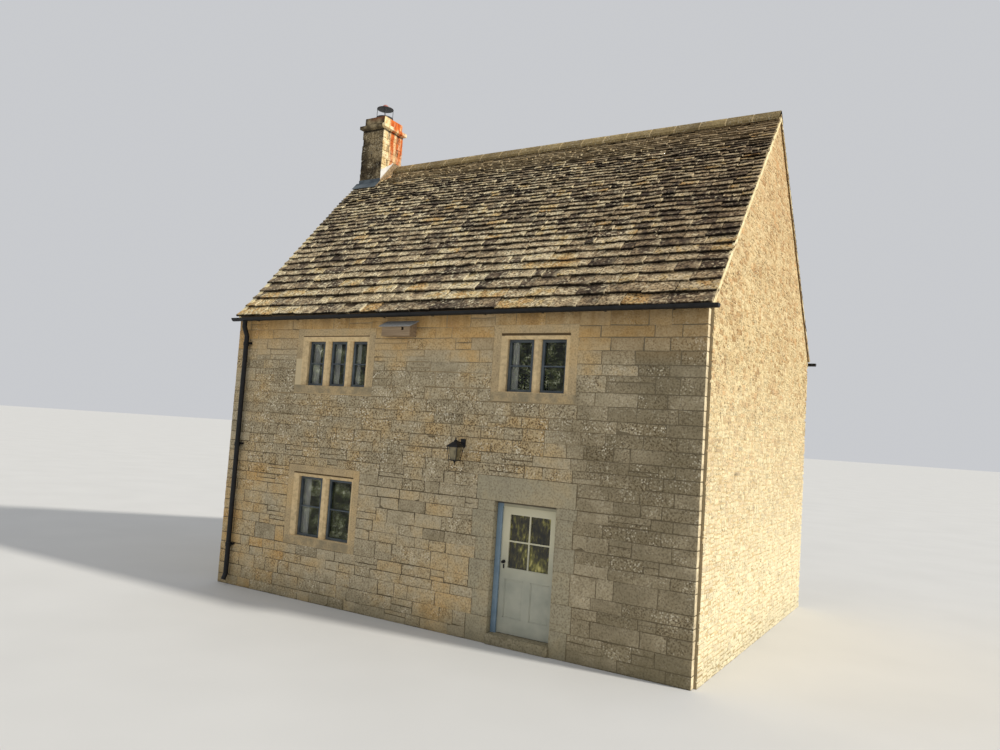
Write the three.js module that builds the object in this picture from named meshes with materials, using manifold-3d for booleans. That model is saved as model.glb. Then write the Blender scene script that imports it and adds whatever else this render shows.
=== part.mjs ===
// Stone-roofed cottage: a two-storey limestone house with mullioned windows,
// a half-glazed door and a stone-slate roof.
// Millimetres, +X along the front wall, +Y into the house, +Z up, ground at z = 0.
// Lengths are worked out from the front wall's left corner; the finished group is then centred on its own box.
import * as THREE from 'three';
import { mergeVertices } from 'three/addons/utils/BufferGeometryUtils.js';
import { ConvexGeometry } from 'three/addons/geometries/ConvexGeometry.js';
import Module from 'manifold-3d';

const wasm = await Module();
wasm.setup();

// Gap between pieces that touch
const SEAT = 0.3;
// How far a cutter runs past what it cuts
const PAST = 5;

// Walls
const WALL_LENGTH = 9065;
const WALL_DEPTH = 7045;
const FRONT_WALL = 550;
const LEFT_GABLE = 650;
const RIGHT_GABLE_INNER = 8515;
const RIGHT_GABLE_FACE = 9110;
const FACING = 100;

// Floors
const FLOOR_TOP = 150;
const STOREY_SPLIT = 2650;
const UPPER_FLOOR_TOP = 2900;

// Roof
const PITCH = THREE.MathUtils.degToRad(47.5);
const EAVES_TOP = 5050;
const EAVES_OVERHANG = 110;
const ROOF_THICKNESS = 110;
const VERGE_LEFT = -50;
const VERGE_RIGHT = 9140;
const RIDGE_Y = WALL_DEPTH / 2;
// Each slope is hogged at its left end: distance in from the wall's face, and rise above the straight slope
const HOG = [[400, 0], [1500, 85], [2400, 150], [2950, 150], [3300, 0]];
const HOG_FULL_TO = 1500;
const RIDGE_TILE = { thickness: 50, leg: 230, top: 9077 };
const RIDGE_BEAM = { width: 100, depth: 200 };
const PURLIN = { y: 1700, width: 150, depth: 220 };

// Chimney
const STACK = { x0: 13, x1: 628, y0: 2960, y1: 3651, bottom: 8200, top: 9805 };
const FLUE = { half: 80, bottom: 8700 };
const DRIP = { out: 55, underside: 30, faceTop: 9875 };
const CAP_COURSE = { inset: 27, bottom: 9890, top: 10070 };
const COWL = { ringInner: 165, ringOuter: 195, ringHeight: 100, ringSides: 16, legRadius: 6, legs: 4 };
const COWL_DISC = { radius: 190, sides: 24, z: 10375, edge: 10, thickness: 15 };
const COWL_DOME = { radius: 90, top: 10490, steps: [15, 40, 65] };
const FLASHING = { thickness: 6, upstand: 75, sideUpstand: 270, sideTop: 9090, apron: 150, sideOver: 37 };

// Windows: the clear lights between the stones, and the outer edge of the splay cut in the surround
const WINDOWS = [
  { name: 'ground_left', bottom: 1086, top: 2131, splay: 80, lights: [[1818, 2337], [2503, 3051]] },
  {
    name: 'upper_left',
    bottom: 3751,
    top: 4546,
    splay: 95,
    lights: [[1786, 2141], [2301, 2654], [2808, 3152]],
  },
  { name: 'upper_right', bottom: 3765, top: 4573, splay: 90, lights: [[5961, 6394], [6537, 6964]] },
];
const SURROUND = { jamb: 130, head: 120, sill: 150, depth: 220, splayDepth: 60 };
const POCKET = { from: 115, around: 45 };
const CASEMENT = { thickness: 42, frame: 42, bar: 22 };
const WINDOW_GLASS = 6;
const MULLION_CHAMFER = 45;

// Curtains gathered at the left of their lights, from the sill to the head of the pocket behind the glass
const CURTAINS = [
  { name: 'ground_left', window: 'ground_left', x: [1790, 1990] },
  { name: 'upper_left_first', window: 'upper_left', x: [1760, 1972] },
  { name: 'upper_left_middle', window: 'upper_left', x: [2318, 2456] },
  { name: 'upper_left_last', window: 'upper_left', x: [2822, 2930] },
  { name: 'upper_right', window: 'upper_right', x: [5930, 6100] },
];
const CURTAIN_Y = [172, 212];

// Door
const DOORWAY = { x0: 5943, x1: 6993, top: 2110, rebateX: 7046, rebateY: 115 };
const DOOR_FRAME = { jambLeft: 6016, jambRight: 6976, head: 2050, y0: 115, y1: 215, stop: 12, stopY: 145 };
const LEAF = { x0: 6024, x1: 6971, y0: 150, y1: 194, z0: 158, z1: 2042 };
const DOOR_PANES = { halfWidth: 342, bottom: 1126, top: 1920, bar: 22, groove: 26 };
const DOOR_PANELS = { bottom: 390, top: 960, sunk: 9, middle: 130, side: 98 };
const DOOR_GLASS = 6;
// The hinge barrels stand behind the leaf's edge, one seat gap from its inner face
const HINGE_RADIUS = 8;
const HINGE = { x: 6969, y: LEAF.y1 + SEAT + HINGE_RADIUS, length: 100, heights: [400, 1100, 1800] };
const KNOB = { x: 6090, z: 1208, hole: 9, spindle: 8, reach: 65, ball: 24, rose: 26, gap: 6 };
const STEP_OUT = 40;

// Rainwater goods
const GUTTER = { x0: -30, x1: 9245, radius: 60, wall: 4, y: -155, top: 5010, fall: 45, facets: 10 };
const BRACKET = { count: 9, first: 500, pitch: 1010, width: 24, height: 12, below: 45 };
const DOWNPIPE = { x: 290, y: -80, radius: 45, neckTop: 4800, neckBottom: 4640, foot: 200, shoe: 150 };
const SOCKET = { radius: 54, height: 70, heights: [4450, 2560, 700], lug: 170, lugHeight: 40 };

// Wall lantern and nest box
const LANTERN = { x: 5305, y: -210, bottom: 2611, base: 2662, roofBottom: 2870, neck: 2950 };
const LANTERN_ROOF = { half: 104, rim: 8, neckHalf: 34 };
const LANTERN_CAP = [[0, -PAST], [30, -PAST], [34, 12], [18, 30], [8, 45], [14, 58], [0, 74]];
const LANTERN_BASE = { half: 68, thickness: 12 };
const LANTERN_FINIAL = [[0, 0], [14, 16], [8, 30], [40, 56], [0, 56]];
const LANTERN_BAR = { radius: 6, footHalf: 62, headHalf: 90 };
const LANTERN_GLASS = { footHalf: 50, headHalf: 76 };
const LANTERN_PLATE = { left: 40, right: 50, thickness: 12, below: 80, above: 50 };
const LANTERN_ARM = { radius: 9, shift: 5, below: 20, above: 20 };
const NEST_BOX = { x0: 3650, x1: 4235, out: 185, bottom: 4605, frontTop: 4772, backTop: 4862, board: 18 };
const NEST_LID = { over: 38, out: 225, thickness: 16 };
const NEST_HOLE = { x: 4080, z: 4726, half: 25 };

// Colours of the finished pieces
const FINISH = {
  wallStone: [0xa9957a, 0.95, 0],
  gableStone: [0xd8bd8c, 0.95, 0],
  dressedStone: [0xb5a78c, 0.9, 0],
  slate: [0x7f735f, 0.95, 0],
  ridgeStone: [0xa8987c, 0.95, 0],
  chimneyStone: [0x8f7f66, 0.95, 0],
  lead: [0x8a93a0, 0.6, 0.3],
  timber: [0x8a6f4d, 0.8, 0],
  floorStone: [0x9c9383, 0.9, 0],
  casementPaint: [0x6f8597, 0.5, 0],
  framePaint: [0x5e7f97, 0.5, 0],
  doorPaint: [0xb4b7a2, 0.5, 0],
  glass: [0x2c3a35, 0.1, 0],
  curtain: [0xc9c9c2, 0.9, 0],
  blackIron: [0x1c1d1f, 0.5, 0.2],
  cowlMetal: [0x232323, 0.5, 0.4],
  nestBoard: [0x8b8474, 0.85, 0],
  lidFelt: [0x6e7176, 0.9, 0],
};

const house = new THREE.Group();

// Geometry to solid and back

function toSolid(geometry) {
  const bare = geometry.clone();
  bare.deleteAttribute('normal');
  bare.deleteAttribute('uv');
  const merged = mergeVertices(bare, 1e-3);
  const mesh = new wasm.Mesh({
    numProp: 3,
    vertProperties: new Float32Array(merged.attributes.position.array),
    triVerts: new Uint32Array(merged.index.array),
  });
  return new wasm.Manifold(mesh);
}

function toGeometry(solid) {
  const mesh = solid.getMesh();
  const geometry = new THREE.BufferGeometry();
  geometry.setAttribute('position', new THREE.BufferAttribute(new Float32Array(mesh.vertProperties), 3));
  geometry.setIndex(Array.from(mesh.triVerts));
  geometry.computeVertexNormals();
  return geometry;
}

function cut(base, ...cutters) {
  const left = cutters.reduce((solid, cutter) => solid.subtract(toSolid(cutter)), toSolid(base));
  return toGeometry(left);
}

function join(first, ...others) {
  const whole = others.reduce((solid, other) => solid.add(toSolid(other)), toSolid(first));
  return toGeometry(whole);
}

// Plain forms

function box([x0, x1], [y0, y1], [z0, z1]) {
  const geometry = new THREE.BoxGeometry(Math.abs(x1 - x0), Math.abs(y1 - y0), Math.abs(z1 - z0));
  return geometry.translate((x0 + x1) / 2, (y0 + y1) / 2, (z0 + z1) / 2);
}

function extrude(points, length) {
  const shape = new THREE.Shape(points.map(([a, b]) => new THREE.Vector2(a, b)));
  return new THREE.ExtrudeGeometry(shape, { depth: length, bevelEnabled: false });
}

// A (y, z) section carried along X
function prismX(section, x0, x1) {
  const turn = new THREE.Matrix4().makeBasis(
    new THREE.Vector3(0, 1, 0),
    new THREE.Vector3(0, 0, 1),
    new THREE.Vector3(1, 0, 0),
  );
  return extrude(section, x1 - x0).applyMatrix4(turn).translate(x0, 0, 0);
}

function hull(points) {
  return new ConvexGeometry(points.map((point) => new THREE.Vector3(...point)));
}

// A rectangle at y0 joined to another at y1 by flat sides
function splayed(wide, y0, narrow, y1) {
  const corners = ([xa, xb], [za, zb], y) => [[xa, y, za], [xb, y, za], [xb, y, zb], [xa, y, zb]];
  return hull([...corners(wide.x, wide.z, y0), ...corners(narrow.x, narrow.z, y1)]);
}

function rod(radius, sides, from, to) {
  const start = new THREE.Vector3(...from);
  const along = new THREE.Vector3(...to).sub(start);
  const geometry = new THREE.CylinderGeometry(radius, radius, along.length(), sides);
  const direction = along.clone().normalize();
  geometry.applyQuaternion(new THREE.Quaternion().setFromUnitVectors(new THREE.Vector3(0, 1, 0), direction));
  const middle = start.addScaledVector(along, 0.5);
  return geometry.translate(middle.x, middle.y, middle.z);
}

// A profile of (radius, height) turned about the vertical line through (x, y)
function turned(profile, sides, x, y) {
  const points = profile.map(([r, z]) => new THREE.Vector2(r, z));
  return new THREE.LatheGeometry(points, sides).rotateX(Math.PI / 2).translate(x, y, 0);
}

// The house turned half round about its middle, for what the back wall repeats
function toBack(geometry) {
  return geometry.clone().rotateZ(Math.PI).translate(WALL_LENGTH, WALL_DEPTH, 0);
}

// The same distance in from the back wall as y is from the front wall
function mirrored(y, side) {
  return side === 'front' ? y : WALL_DEPTH - y;
}

function addPiece(name, geometry, finish) {
  const [color, roughness, metalness] = FINISH[finish];
  const mesh = new THREE.Mesh(geometry, new THREE.MeshStandardMaterial({ color, roughness, metalness }));
  mesh.name = name;
  house.add(mesh);
}

// Roof planes

function roofTop(y) {
  const fromEaves = Math.min(y, WALL_DEPTH - y) + EAVES_OVERHANG;
  return EAVES_TOP + fromEaves * Math.tan(PITCH);
}

function roofUnderside(y) {
  return roofTop(y) - ROOF_THICKNESS / Math.cos(PITCH);
}

// The rise of the hogged end above the straight slope
function hogRise(y) {
  const inward = Math.min(y, WALL_DEPTH - y);
  const next = HOG.findIndex(([at]) => inward < at);
  if (next < 1) {
    return 0;
  }
  const [y0, rise0] = HOG[next - 1];
  const [y1, rise1] = HOG[next];
  return rise0 + ((rise1 - rise0) * (inward - y0)) / (y1 - y0);
}

// Vertical distance that leaves the seat gap square to the slope
const SLOPE_SEAT = SEAT / Math.cos(PITCH);

// Walls

function windowFrame({ lights, bottom, top, splay }) {
  const first = lights[0][0];
  const last = lights[lights.length - 1][1];
  return {
    lightX: [first, last],
    lightZ: [bottom, top],
    splayX: [first - splay, last + splay],
    splayZ: [bottom, top + splay],
    outerX: [first - splay - SURROUND.jamb, last + splay + SURROUND.jamb],
    outerZ: [bottom - SURROUND.sill, top + splay + SURROUND.head],
  };
}

function windowHole(window) {
  const { outerX, outerZ } = windowFrame(window);
  return box(outerX, [-PAST, FRONT_WALL + PAST], outerZ);
}

function windowNamed(name) {
  return WINDOWS.find((window) => window.name === name);
}

// The space of the gable walls, behind the facing of a long wall's ends, seen from outside that wall
function gableEnds(side, top) {
  const rightGable = WALL_LENGTH - RIGHT_GABLE_INNER;
  const [left, right] = side === 'front' ? [LEFT_GABLE, rightGable] : [rightGable, LEFT_GABLE];
  const depth = [FACING, FRONT_WALL + PAST];
  return [
    box([-PAST, left + SEAT], depth, [-PAST, top]),
    box([WALL_LENGTH - right - SEAT, WALL_LENGTH + PAST], depth, [-PAST, top]),
  ];
}

function lowerWall(side, x0, x1, ...holes) {
  const ends = gableEnds(side, STOREY_SPLIT + PAST);
  return cut(box([x0, x1], [0, FRONT_WALL], [0, STOREY_SPLIT]), ...ends, ...holes);
}

function upperWall(side, x0, x1, ...holes) {
  const section = [
    [0, STOREY_SPLIT + SEAT],
    [FRONT_WALL, STOREY_SPLIT + SEAT],
    [FRONT_WALL, roofUnderside(FRONT_WALL) - SLOPE_SEAT],
    [0, roofUnderside(0) - SLOPE_SEAT],
  ];
  return cut(prismX(section, x0, x1), ...gableEnds(side, roofUnderside(FRONT_WALL)), ...holes);
}

function addFrontAndBackWalls() {
  const middle = WALL_LENGTH / 2;
  const rebate = box(
    [DOORWAY.x1 - PAST, DOORWAY.rebateX],
    [DOORWAY.rebateY, FRONT_WALL + PAST],
    [FLOOR_TOP, DOORWAY.top + SEAT],
  );
  const [ground, upperLeft, upperRight] = ['ground_left', 'upper_left', 'upper_right'].map(windowNamed);
  addPiece('front_wall_lower_left', lowerWall('front', 0, DOORWAY.x0, windowHole(ground)), 'wallStone');
  addPiece('front_wall_lower_right', lowerWall('front', DOORWAY.x1, WALL_LENGTH, rebate), 'wallStone');
  const over = box(
    [DOORWAY.x0 + SEAT, DOORWAY.x1 - SEAT],
    [0, FRONT_WALL],
    [DOORWAY.top + SEAT, STOREY_SPLIT],
  );
  addPiece('front_wall_over_door', over, 'dressedStone');
  const left = (side) => upperWall(side, 0, middle, windowHole(upperLeft));
  const right = (side) => upperWall(side, middle + SEAT, WALL_LENGTH, windowHole(upperRight));
  addPiece('front_wall_upper_left', left('front'), 'wallStone');
  addPiece('front_wall_upper_right', right('front'), 'wallStone');
  addPiece('back_wall_lower', toBack(lowerWall('back', 0, WALL_LENGTH, windowHole(ground))), 'gableStone');
  addPiece('back_wall_upper_left', toBack(left('back')), 'gableStone');
  addPiece('back_wall_upper_right', toBack(right('back')), 'gableStone');
}

function gableSection() {
  const front = FACING + SEAT;
  const back = WALL_DEPTH - FACING - SEAT;
  return [
    [front, 0],
    [back, 0],
    [back, roofUnderside(back) - SLOPE_SEAT],
    [RIDGE_Y, roofUnderside(RIDGE_Y) - SLOPE_SEAT],
    [front, roofUnderside(front) - SLOPE_SEAT],
  ];
}

function addGables() {
  const seatOfStack = box(
    [-PAST, LEFT_GABLE + PAST],
    [STACK.y0 - SEAT, STACK.y1 + SEAT],
    [STACK.bottom, STACK.top],
  );
  addPiece('gable_wall_left', cut(prismX(gableSection(), 0, LEFT_GABLE), seatOfStack), 'gableStone');
  addPiece('gable_wall_right', prismX(gableSection(), RIGHT_GABLE_INNER, RIGHT_GABLE_FACE), 'gableStone');
}

// Floors

function addFloors() {
  const x = [LEFT_GABLE + SEAT, RIGHT_GABLE_INNER - SEAT];
  const y = [FRONT_WALL + SEAT, WALL_DEPTH - FRONT_WALL - SEAT];
  addPiece('ground_floor', box(x, y, [0, FLOOR_TOP]), 'floorStone');
  addPiece('upper_floor', box(x, y, [STOREY_SPLIT, UPPER_FLOOR_TOP]), 'timber');
}

// Roof

// What the hog adds to a slope: full at the left verge, dying into the straight slope at the right verge
function hogWedge(side) {
  const ends = [HOG[0][0], HOG[HOG.length - 1][0]];
  const levels = (rise) => ends.map((y) => [y, rise]);
  const foot = levels(-ROOF_THICKNESS / 2);
  const profile = [...levels(-PAST), ...HOG.filter(([, rise]) => rise > 0)];
  const at = (x, heights) => heights.map(([y, rise]) => [x, mirrored(y, side), roofTop(y) + rise]);
  return hull([
    ...at(VERGE_LEFT, [...profile, ...foot]),
    ...at(HOG_FULL_TO, profile),
    ...at(VERGE_RIGHT, [...levels(-PAST), ...foot]),
  ]);
}

function roofSlope(side) {
  const eavesEnd = -EAVES_OVERHANG + ROOF_THICKNESS * Math.sin(PITCH);
  const ridgeEnd = RIDGE_Y - SEAT / 2;
  const section = [
    [-EAVES_OVERHANG, EAVES_TOP],
    [eavesEnd, EAVES_TOP - ROOF_THICKNESS * Math.cos(PITCH)],
    [ridgeEnd, roofUnderside(ridgeEnd)],
    [ridgeEnd, roofTop(ridgeEnd)],
  ].map(([y, z]) => [mirrored(y, side), z]);
  const aroundStack = box(
    [VERGE_LEFT - PAST, STACK.x1 + SEAT],
    [STACK.y0 - SEAT, STACK.y1 + SEAT],
    [STACK.bottom, STACK.top],
  );
  return cut(join(prismX(section, VERGE_LEFT, VERGE_RIGHT), hogWedge(side)), aroundStack);
}

function ridgeTiles() {
  const reach = RIDGE_TILE.leg * Math.cos(PITCH);
  const drop = RIDGE_TILE.leg * Math.sin(PITCH);
  const apex = roofTop(RIDGE_Y) + SLOPE_SEAT;
  const outerApex = apex + RIDGE_TILE.thickness / Math.cos(PITCH);
  const flat = (outerApex - RIDGE_TILE.top) / Math.tan(PITCH);
  const toeY = RIDGE_TILE.thickness * Math.sin(PITCH);
  const toeZ = RIDGE_TILE.thickness * Math.cos(PITCH);
  const section = [
    [RIDGE_Y - flat, RIDGE_TILE.top],
    [RIDGE_Y - reach - toeY, apex - drop + toeZ],
    [RIDGE_Y - reach, apex - drop],
    [RIDGE_Y, apex],
    [RIDGE_Y + reach, apex - drop],
    [RIDGE_Y + reach + toeY, apex - drop + toeZ],
    [RIDGE_Y + flat, RIDGE_TILE.top],
  ];
  return prismX(section, STACK.x1 + 2 * SEAT + FLASHING.thickness, VERGE_RIGHT);
}

function ridgeBeam() {
  const half = RIDGE_BEAM.width / 2;
  const top = roofUnderside(RIDGE_Y - half) - SLOPE_SEAT;
  const x = [LEFT_GABLE + SEAT, RIGHT_GABLE_INNER - SEAT];
  return box(x, [RIDGE_Y - half, RIDGE_Y + half], [top - RIDGE_BEAM.depth, top]);
}

function purlin(side) {
  const alongY = Math.cos(PITCH);
  const alongZ = Math.sin(PITCH);
  const corner = (along, into) => {
    const y = PURLIN.y + along * alongY + (SEAT + into) * alongZ;
    const z = roofUnderside(PURLIN.y) + along * alongZ - (SEAT + into) * alongY;
    return [mirrored(y, side), z];
  };
  const { width, depth } = PURLIN;
  const section = [corner(0, 0), corner(width, 0), corner(width, depth), corner(0, depth)];
  return prismX(section, LEFT_GABLE + SEAT, RIGHT_GABLE_INNER - SEAT);
}

function addRoof() {
  addPiece('roof_front', roofSlope('front'), 'slate');
  addPiece('roof_back', roofSlope('back'), 'slate');
  addPiece('ridge_tiles', ridgeTiles(), 'ridgeStone');
  addPiece('ridge_beam', ridgeBeam(), 'timber');
  addPiece('purlin_front', purlin('front'), 'timber');
  addPiece('purlin_back', purlin('back'), 'timber');
}

// Chimney

const STACK_MIDDLE = [(STACK.x0 + STACK.x1) / 2, (STACK.y0 + STACK.y1) / 2];

function flueHole(bottom, top) {
  const [x, y] = STACK_MIDDLE;
  return box([x - FLUE.half, x + FLUE.half], [y - FLUE.half, y + FLUE.half], [bottom, top]);
}

// A rectangle around the stack, moved out by a distance, as four corners at a height
function stackRing(out, z) {
  return [
    [STACK.x0 - out, STACK.y0 - out, z],
    [STACK.x1 + out, STACK.y0 - out, z],
    [STACK.x1 + out, STACK.y1 + out, z],
    [STACK.x0 - out, STACK.y1 + out, z],
  ];
}

function chimneyStack() {
  const heights = [STACK.bottom + SEAT, STACK.top - DRIP.underside];
  const body = box([STACK.x0, STACK.x1], [STACK.y0, STACK.y1], heights);
  return cut(body, flueHole(FLUE.bottom, STACK.top));
}

function chimneyCap() {
  const underside = STACK.top - DRIP.underside + SEAT;
  const drip = hull([
    ...stackRing(0, underside),
    ...stackRing(DRIP.out, STACK.top),
    ...stackRing(DRIP.out, DRIP.faceTop),
    ...stackRing(-CAP_COURSE.inset, CAP_COURSE.bottom),
  ]);
  const course = hull([
    ...stackRing(-CAP_COURSE.inset, CAP_COURSE.bottom - PAST),
    ...stackRing(-CAP_COURSE.inset, CAP_COURSE.top),
  ]);
  return cut(join(drip, course), flueHole(underside - PAST, CAP_COURSE.top + PAST));
}

function chimneyCowl() {
  const [x, y] = STACK_MIDDLE;
  const { ringInner, ringOuter, ringHeight } = COWL;
  const bottom = CAP_COURSE.top + SEAT;
  const rim = bottom + ringHeight;
  const ringProfile = [
    [ringInner, bottom],
    [ringOuter, bottom],
    [ringOuter, rim],
    [ringInner, rim],
    [ringInner, bottom],
  ];
  const ring = turned(ringProfile, COWL.ringSides, x, y);
  const disc = COWL_DISC.z + COWL_DISC.thickness;
  const dome = COWL_DOME.steps.map((degrees) => {
    const angle = THREE.MathUtils.degToRad(degrees);
    return [COWL_DOME.radius * Math.cos(angle), disc + (COWL_DOME.top - disc) * Math.sin(angle)];
  });
  const lidProfile = [
    [0, COWL_DISC.z],
    [COWL_DISC.radius, COWL_DISC.z],
    [COWL_DISC.radius, COWL_DISC.z + COWL_DISC.edge],
    [COWL_DOME.radius, disc],
    ...dome,
    [0, COWL_DOME.top],
  ];
  const lid = turned(lidProfile, COWL_DISC.sides, x, y);
  const legRing = (ringInner + ringOuter) / 2;
  const legs = Array.from({ length: COWL.legs }, (_, i) => {
    const angle = Math.PI / 4 + (i * 2 * Math.PI) / COWL.legs;
    const at = [x + legRing * Math.cos(angle), y + legRing * Math.sin(angle)];
    return rod(COWL.legRadius, 8, [...at, rim - PAST], [...at, COWL_DISC.z + PAST]);
  });
  return join(ring, lid, ...legs);
}

// A sheet standing on the hogged slopes from y0 to y1, as tall as rise
function leadBand(y0, y1, rise, x0, x1) {
  const frontBends = HOG.map(([y]) => y);
  const backBends = frontBends.map((y) => WALL_DEPTH - y).reverse();
  const bends = [...frontBends, RIDGE_Y, ...backBends].filter((y) => y > y0 && y < y1);
  const along = [y0, ...bends, y1];
  const level = (y) => roofTop(y) + hogRise(y) + SLOPE_SEAT;
  const foot = along.map((y) => [y, level(y)]);
  const head = along.map((y) => [y, level(y) + rise]).reverse();
  return prismX([...foot, ...head], x0, x1);
}

// Lead dressed up the stack's front, right and back, with an apron down the front slope
function chimneyFlashing() {
  const { thickness: sheet, upstand, sideUpstand, sideTop, apron, sideOver } = FLASHING;
  const [front, back, side] = [STACK.y0 - SEAT, STACK.y1 + SEAT, STACK.x1 + SEAT];
  const tall = leadBand(front - sheet, back + sheet, sideUpstand, side, side + sheet);
  const above = box([side - PAST, side + sheet + PAST], [STACK.y0 - PAST, STACK.y1 + PAST], [sideTop, STACK.top]);
  return join(
    cut(tall, above),
    leadBand(front - sheet, front, upstand, STACK.x0, side + sheet),
    leadBand(back, back + sheet, upstand, STACK.x0, side + sheet),
    leadBand(front - sheet - apron, front, sheet / Math.cos(PITCH), VERGE_LEFT, STACK.x1 + sideOver),
  );
}

function addChimney() {
  addPiece('chimney_stack', chimneyStack(), 'chimneyStone');
  addPiece('chimney_cap', chimneyCap(), 'chimneyStone');
  addPiece('chimney_cowl', chimneyCowl(), 'cowlMetal');
  addPiece('chimney_flashing', chimneyFlashing(), 'lead');
}

// Windows

// What is cut off a mullion's front edge beside x, with the mullion's stone on the given side of it
function mullionChamfer(x, side, [z0, z1]) {
  const front = SURROUND.splayDepth - PAST;
  const section = [
    [x - side * PAST, front],
    [x + side * (MULLION_CHAMFER + PAST), front],
    [x - side * PAST, front + MULLION_CHAMFER + 2 * PAST],
  ];
  return hull([z0, z1].flatMap((z) => section.map(([px, py]) => [px, py, z])));
}

function windowSurround(window) {
  const { lightX, lightZ, splayX, splayZ, outerX, outerZ } = windowFrame(window);
  const stone = box(
    [outerX[0] + SEAT, outerX[1] - SEAT],
    [0, SURROUND.depth],
    [outerZ[0] + SEAT, outerZ[1] - SEAT],
  );
  const splay = splayed(
    { x: splayX, z: splayZ },
    0,
    { x: lightX, z: lightZ },
    SURROUND.splayDepth,
  );
  const lights = window.lights.map((light) => box(light, [0, SURROUND.depth], lightZ));
  const chamfers = window.lights.slice(1).flatMap(([x0], before) => [
    mullionChamfer(window.lights[before][1], 1, lightZ),
    mullionChamfer(x0, -1, lightZ),
  ]);
  const pocket = box(
    [lightX[0] - POCKET.around, lightX[1] + POCKET.around],
    [POCKET.from, SURROUND.depth + PAST],
    [lightZ[0] - POCKET.around, lightZ[1] + POCKET.around],
  );
  return cut(stone, splay, ...lights, ...chamfers, pocket);
}

function pocketFill(window, y0, y1) {
  const { lightX, lightZ } = windowFrame(window);
  const around = POCKET.around - SEAT;
  return box([lightX[0] - around, lightX[1] + around], [y0, y1], [lightZ[0] - around, lightZ[1] + around]);
}

function windowCasements(window) {
  const y0 = POCKET.from + SEAT;
  const y1 = y0 + CASEMENT.thickness;
  const middle = (window.bottom + window.top) / 2;
  const half = CASEMENT.bar / 2;
  const rows = [
    [window.bottom + CASEMENT.frame, middle - half],
    [middle + half, window.top - CASEMENT.frame],
  ];
  const panes = window.lights.flatMap(([x0, x1]) =>
    rows.map((row) => box([x0 + CASEMENT.frame, x1 - CASEMENT.frame], [y0 - PAST, y1 + PAST], row)),
  );
  return cut(pocketFill(window, y0, y1), ...panes);
}

function curtain({ window, x }) {
  const { lightZ } = windowFrame(windowNamed(window));
  const reach = POCKET.around - SEAT;
  return box(x, CURTAIN_Y, [lightZ[0] - reach, lightZ[1] + reach]);
}

function addWindows() {
  const glassFront = POCKET.from + 2 * SEAT + CASEMENT.thickness;
  for (const window of WINDOWS) {
    const pieces = [
      ['surround', windowSurround(window), 'dressedStone'],
      ['casements', windowCasements(window), 'casementPaint'],
      ['glass', pocketFill(window, glassFront, glassFront + WINDOW_GLASS), 'glass'],
    ];
    for (const [part, geometry, finish] of pieces) {
      addPiece(`window_${window.name}_${part}`, geometry, finish);
      addPiece(`back_window_${window.name}_${part}`, toBack(geometry), finish);
    }
  }
  for (const hung of CURTAINS) {
    addPiece(`curtain_${hung.name}`, curtain(hung), 'curtain');
  }
}

// Door

function doorFrame() {
  const outer = box(
    [DOORWAY.x0 + SEAT, DOORWAY.rebateX - SEAT],
    [DOOR_FRAME.y0 + SEAT, DOOR_FRAME.y1],
    [FLOOR_TOP + SEAT, DOORWAY.top],
  );
  const behindStop = box(
    [DOOR_FRAME.jambLeft, DOOR_FRAME.jambRight],
    [DOOR_FRAME.stopY, DOOR_FRAME.y1 + PAST],
    [FLOOR_TOP - PAST, DOOR_FRAME.head],
  );
  const clear = box(
    [DOOR_FRAME.jambLeft + DOOR_FRAME.stop, DOOR_FRAME.jambRight - DOOR_FRAME.stop],
    [DOOR_FRAME.y0 - PAST, DOOR_FRAME.y1 + PAST],
    [FLOOR_TOP - PAST, DOOR_FRAME.head - DOOR_FRAME.stop],
  );
  const barrels = HINGE.heights.map((z) => {
    const half = HINGE.length / 2;
    return rod(HINGE_RADIUS, 12, [HINGE.x, HINGE.y, z - half], [HINGE.x, HINGE.y, z + half]);
  });
  return join(cut(outer, behindStop, clear), ...barrels);
}

const LEAF_MIDDLE = (LEAF.x0 + LEAF.x1) / 2;

function doorLeaf() {
  const leaf = box([LEAF.x0, LEAF.x1], [LEAF.y0, LEAF.y1], [LEAF.z0, LEAF.z1]);
  const { halfWidth, bottom, top, bar, groove } = DOOR_PANES;
  const glazed = box(
    [LEAF_MIDDLE - halfWidth - SEAT, LEAF_MIDDLE + halfWidth + SEAT],
    [LEAF.y0 + groove, LEAF.y1 + PAST],
    [bottom - SEAT, top + SEAT],
  );
  const middle = (bottom + top) / 2;
  const columns = [
    [LEAF_MIDDLE - halfWidth, LEAF_MIDDLE - bar / 2],
    [LEAF_MIDDLE + bar / 2, LEAF_MIDDLE + halfWidth],
  ];
  const rows = [[bottom, middle - bar / 2], [middle + bar / 2, top]];
  const panes = columns.flatMap((x) => rows.map((z) => box(x, [LEAF.y0 - PAST, LEAF.y1 + PAST], z)));
  const { side, sunk, middle: muntin } = DOOR_PANELS;
  const panelX = [[LEAF.x0 + side, LEAF_MIDDLE - muntin / 2], [LEAF_MIDDLE + muntin / 2, LEAF.x1 - side]];
  const panelZ = [DOOR_PANELS.bottom, DOOR_PANELS.top];
  const panels = panelX.flatMap((x) => [
    box(x, [LEAF.y0 - PAST, LEAF.y0 + sunk], panelZ),
    box(x, [LEAF.y1 - sunk, LEAF.y1 + PAST], panelZ),
  ]);
  const spindleHole = rod(KNOB.hole, 12, [KNOB.x, LEAF.y0 - PAST, KNOB.z], [KNOB.x, LEAF.y1 + PAST, KNOB.z]);
  return cut(leaf, glazed, ...panes, ...panels, spindleHole);
}

function doorGlass() {
  const { halfWidth, bottom, top, groove } = DOOR_PANES;
  const y0 = LEAF.y0 + groove + SEAT;
  return box([LEAF_MIDDLE - halfWidth, LEAF_MIDDLE + halfWidth], [y0, y0 + DOOR_GLASS], [bottom, top]);
}

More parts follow.
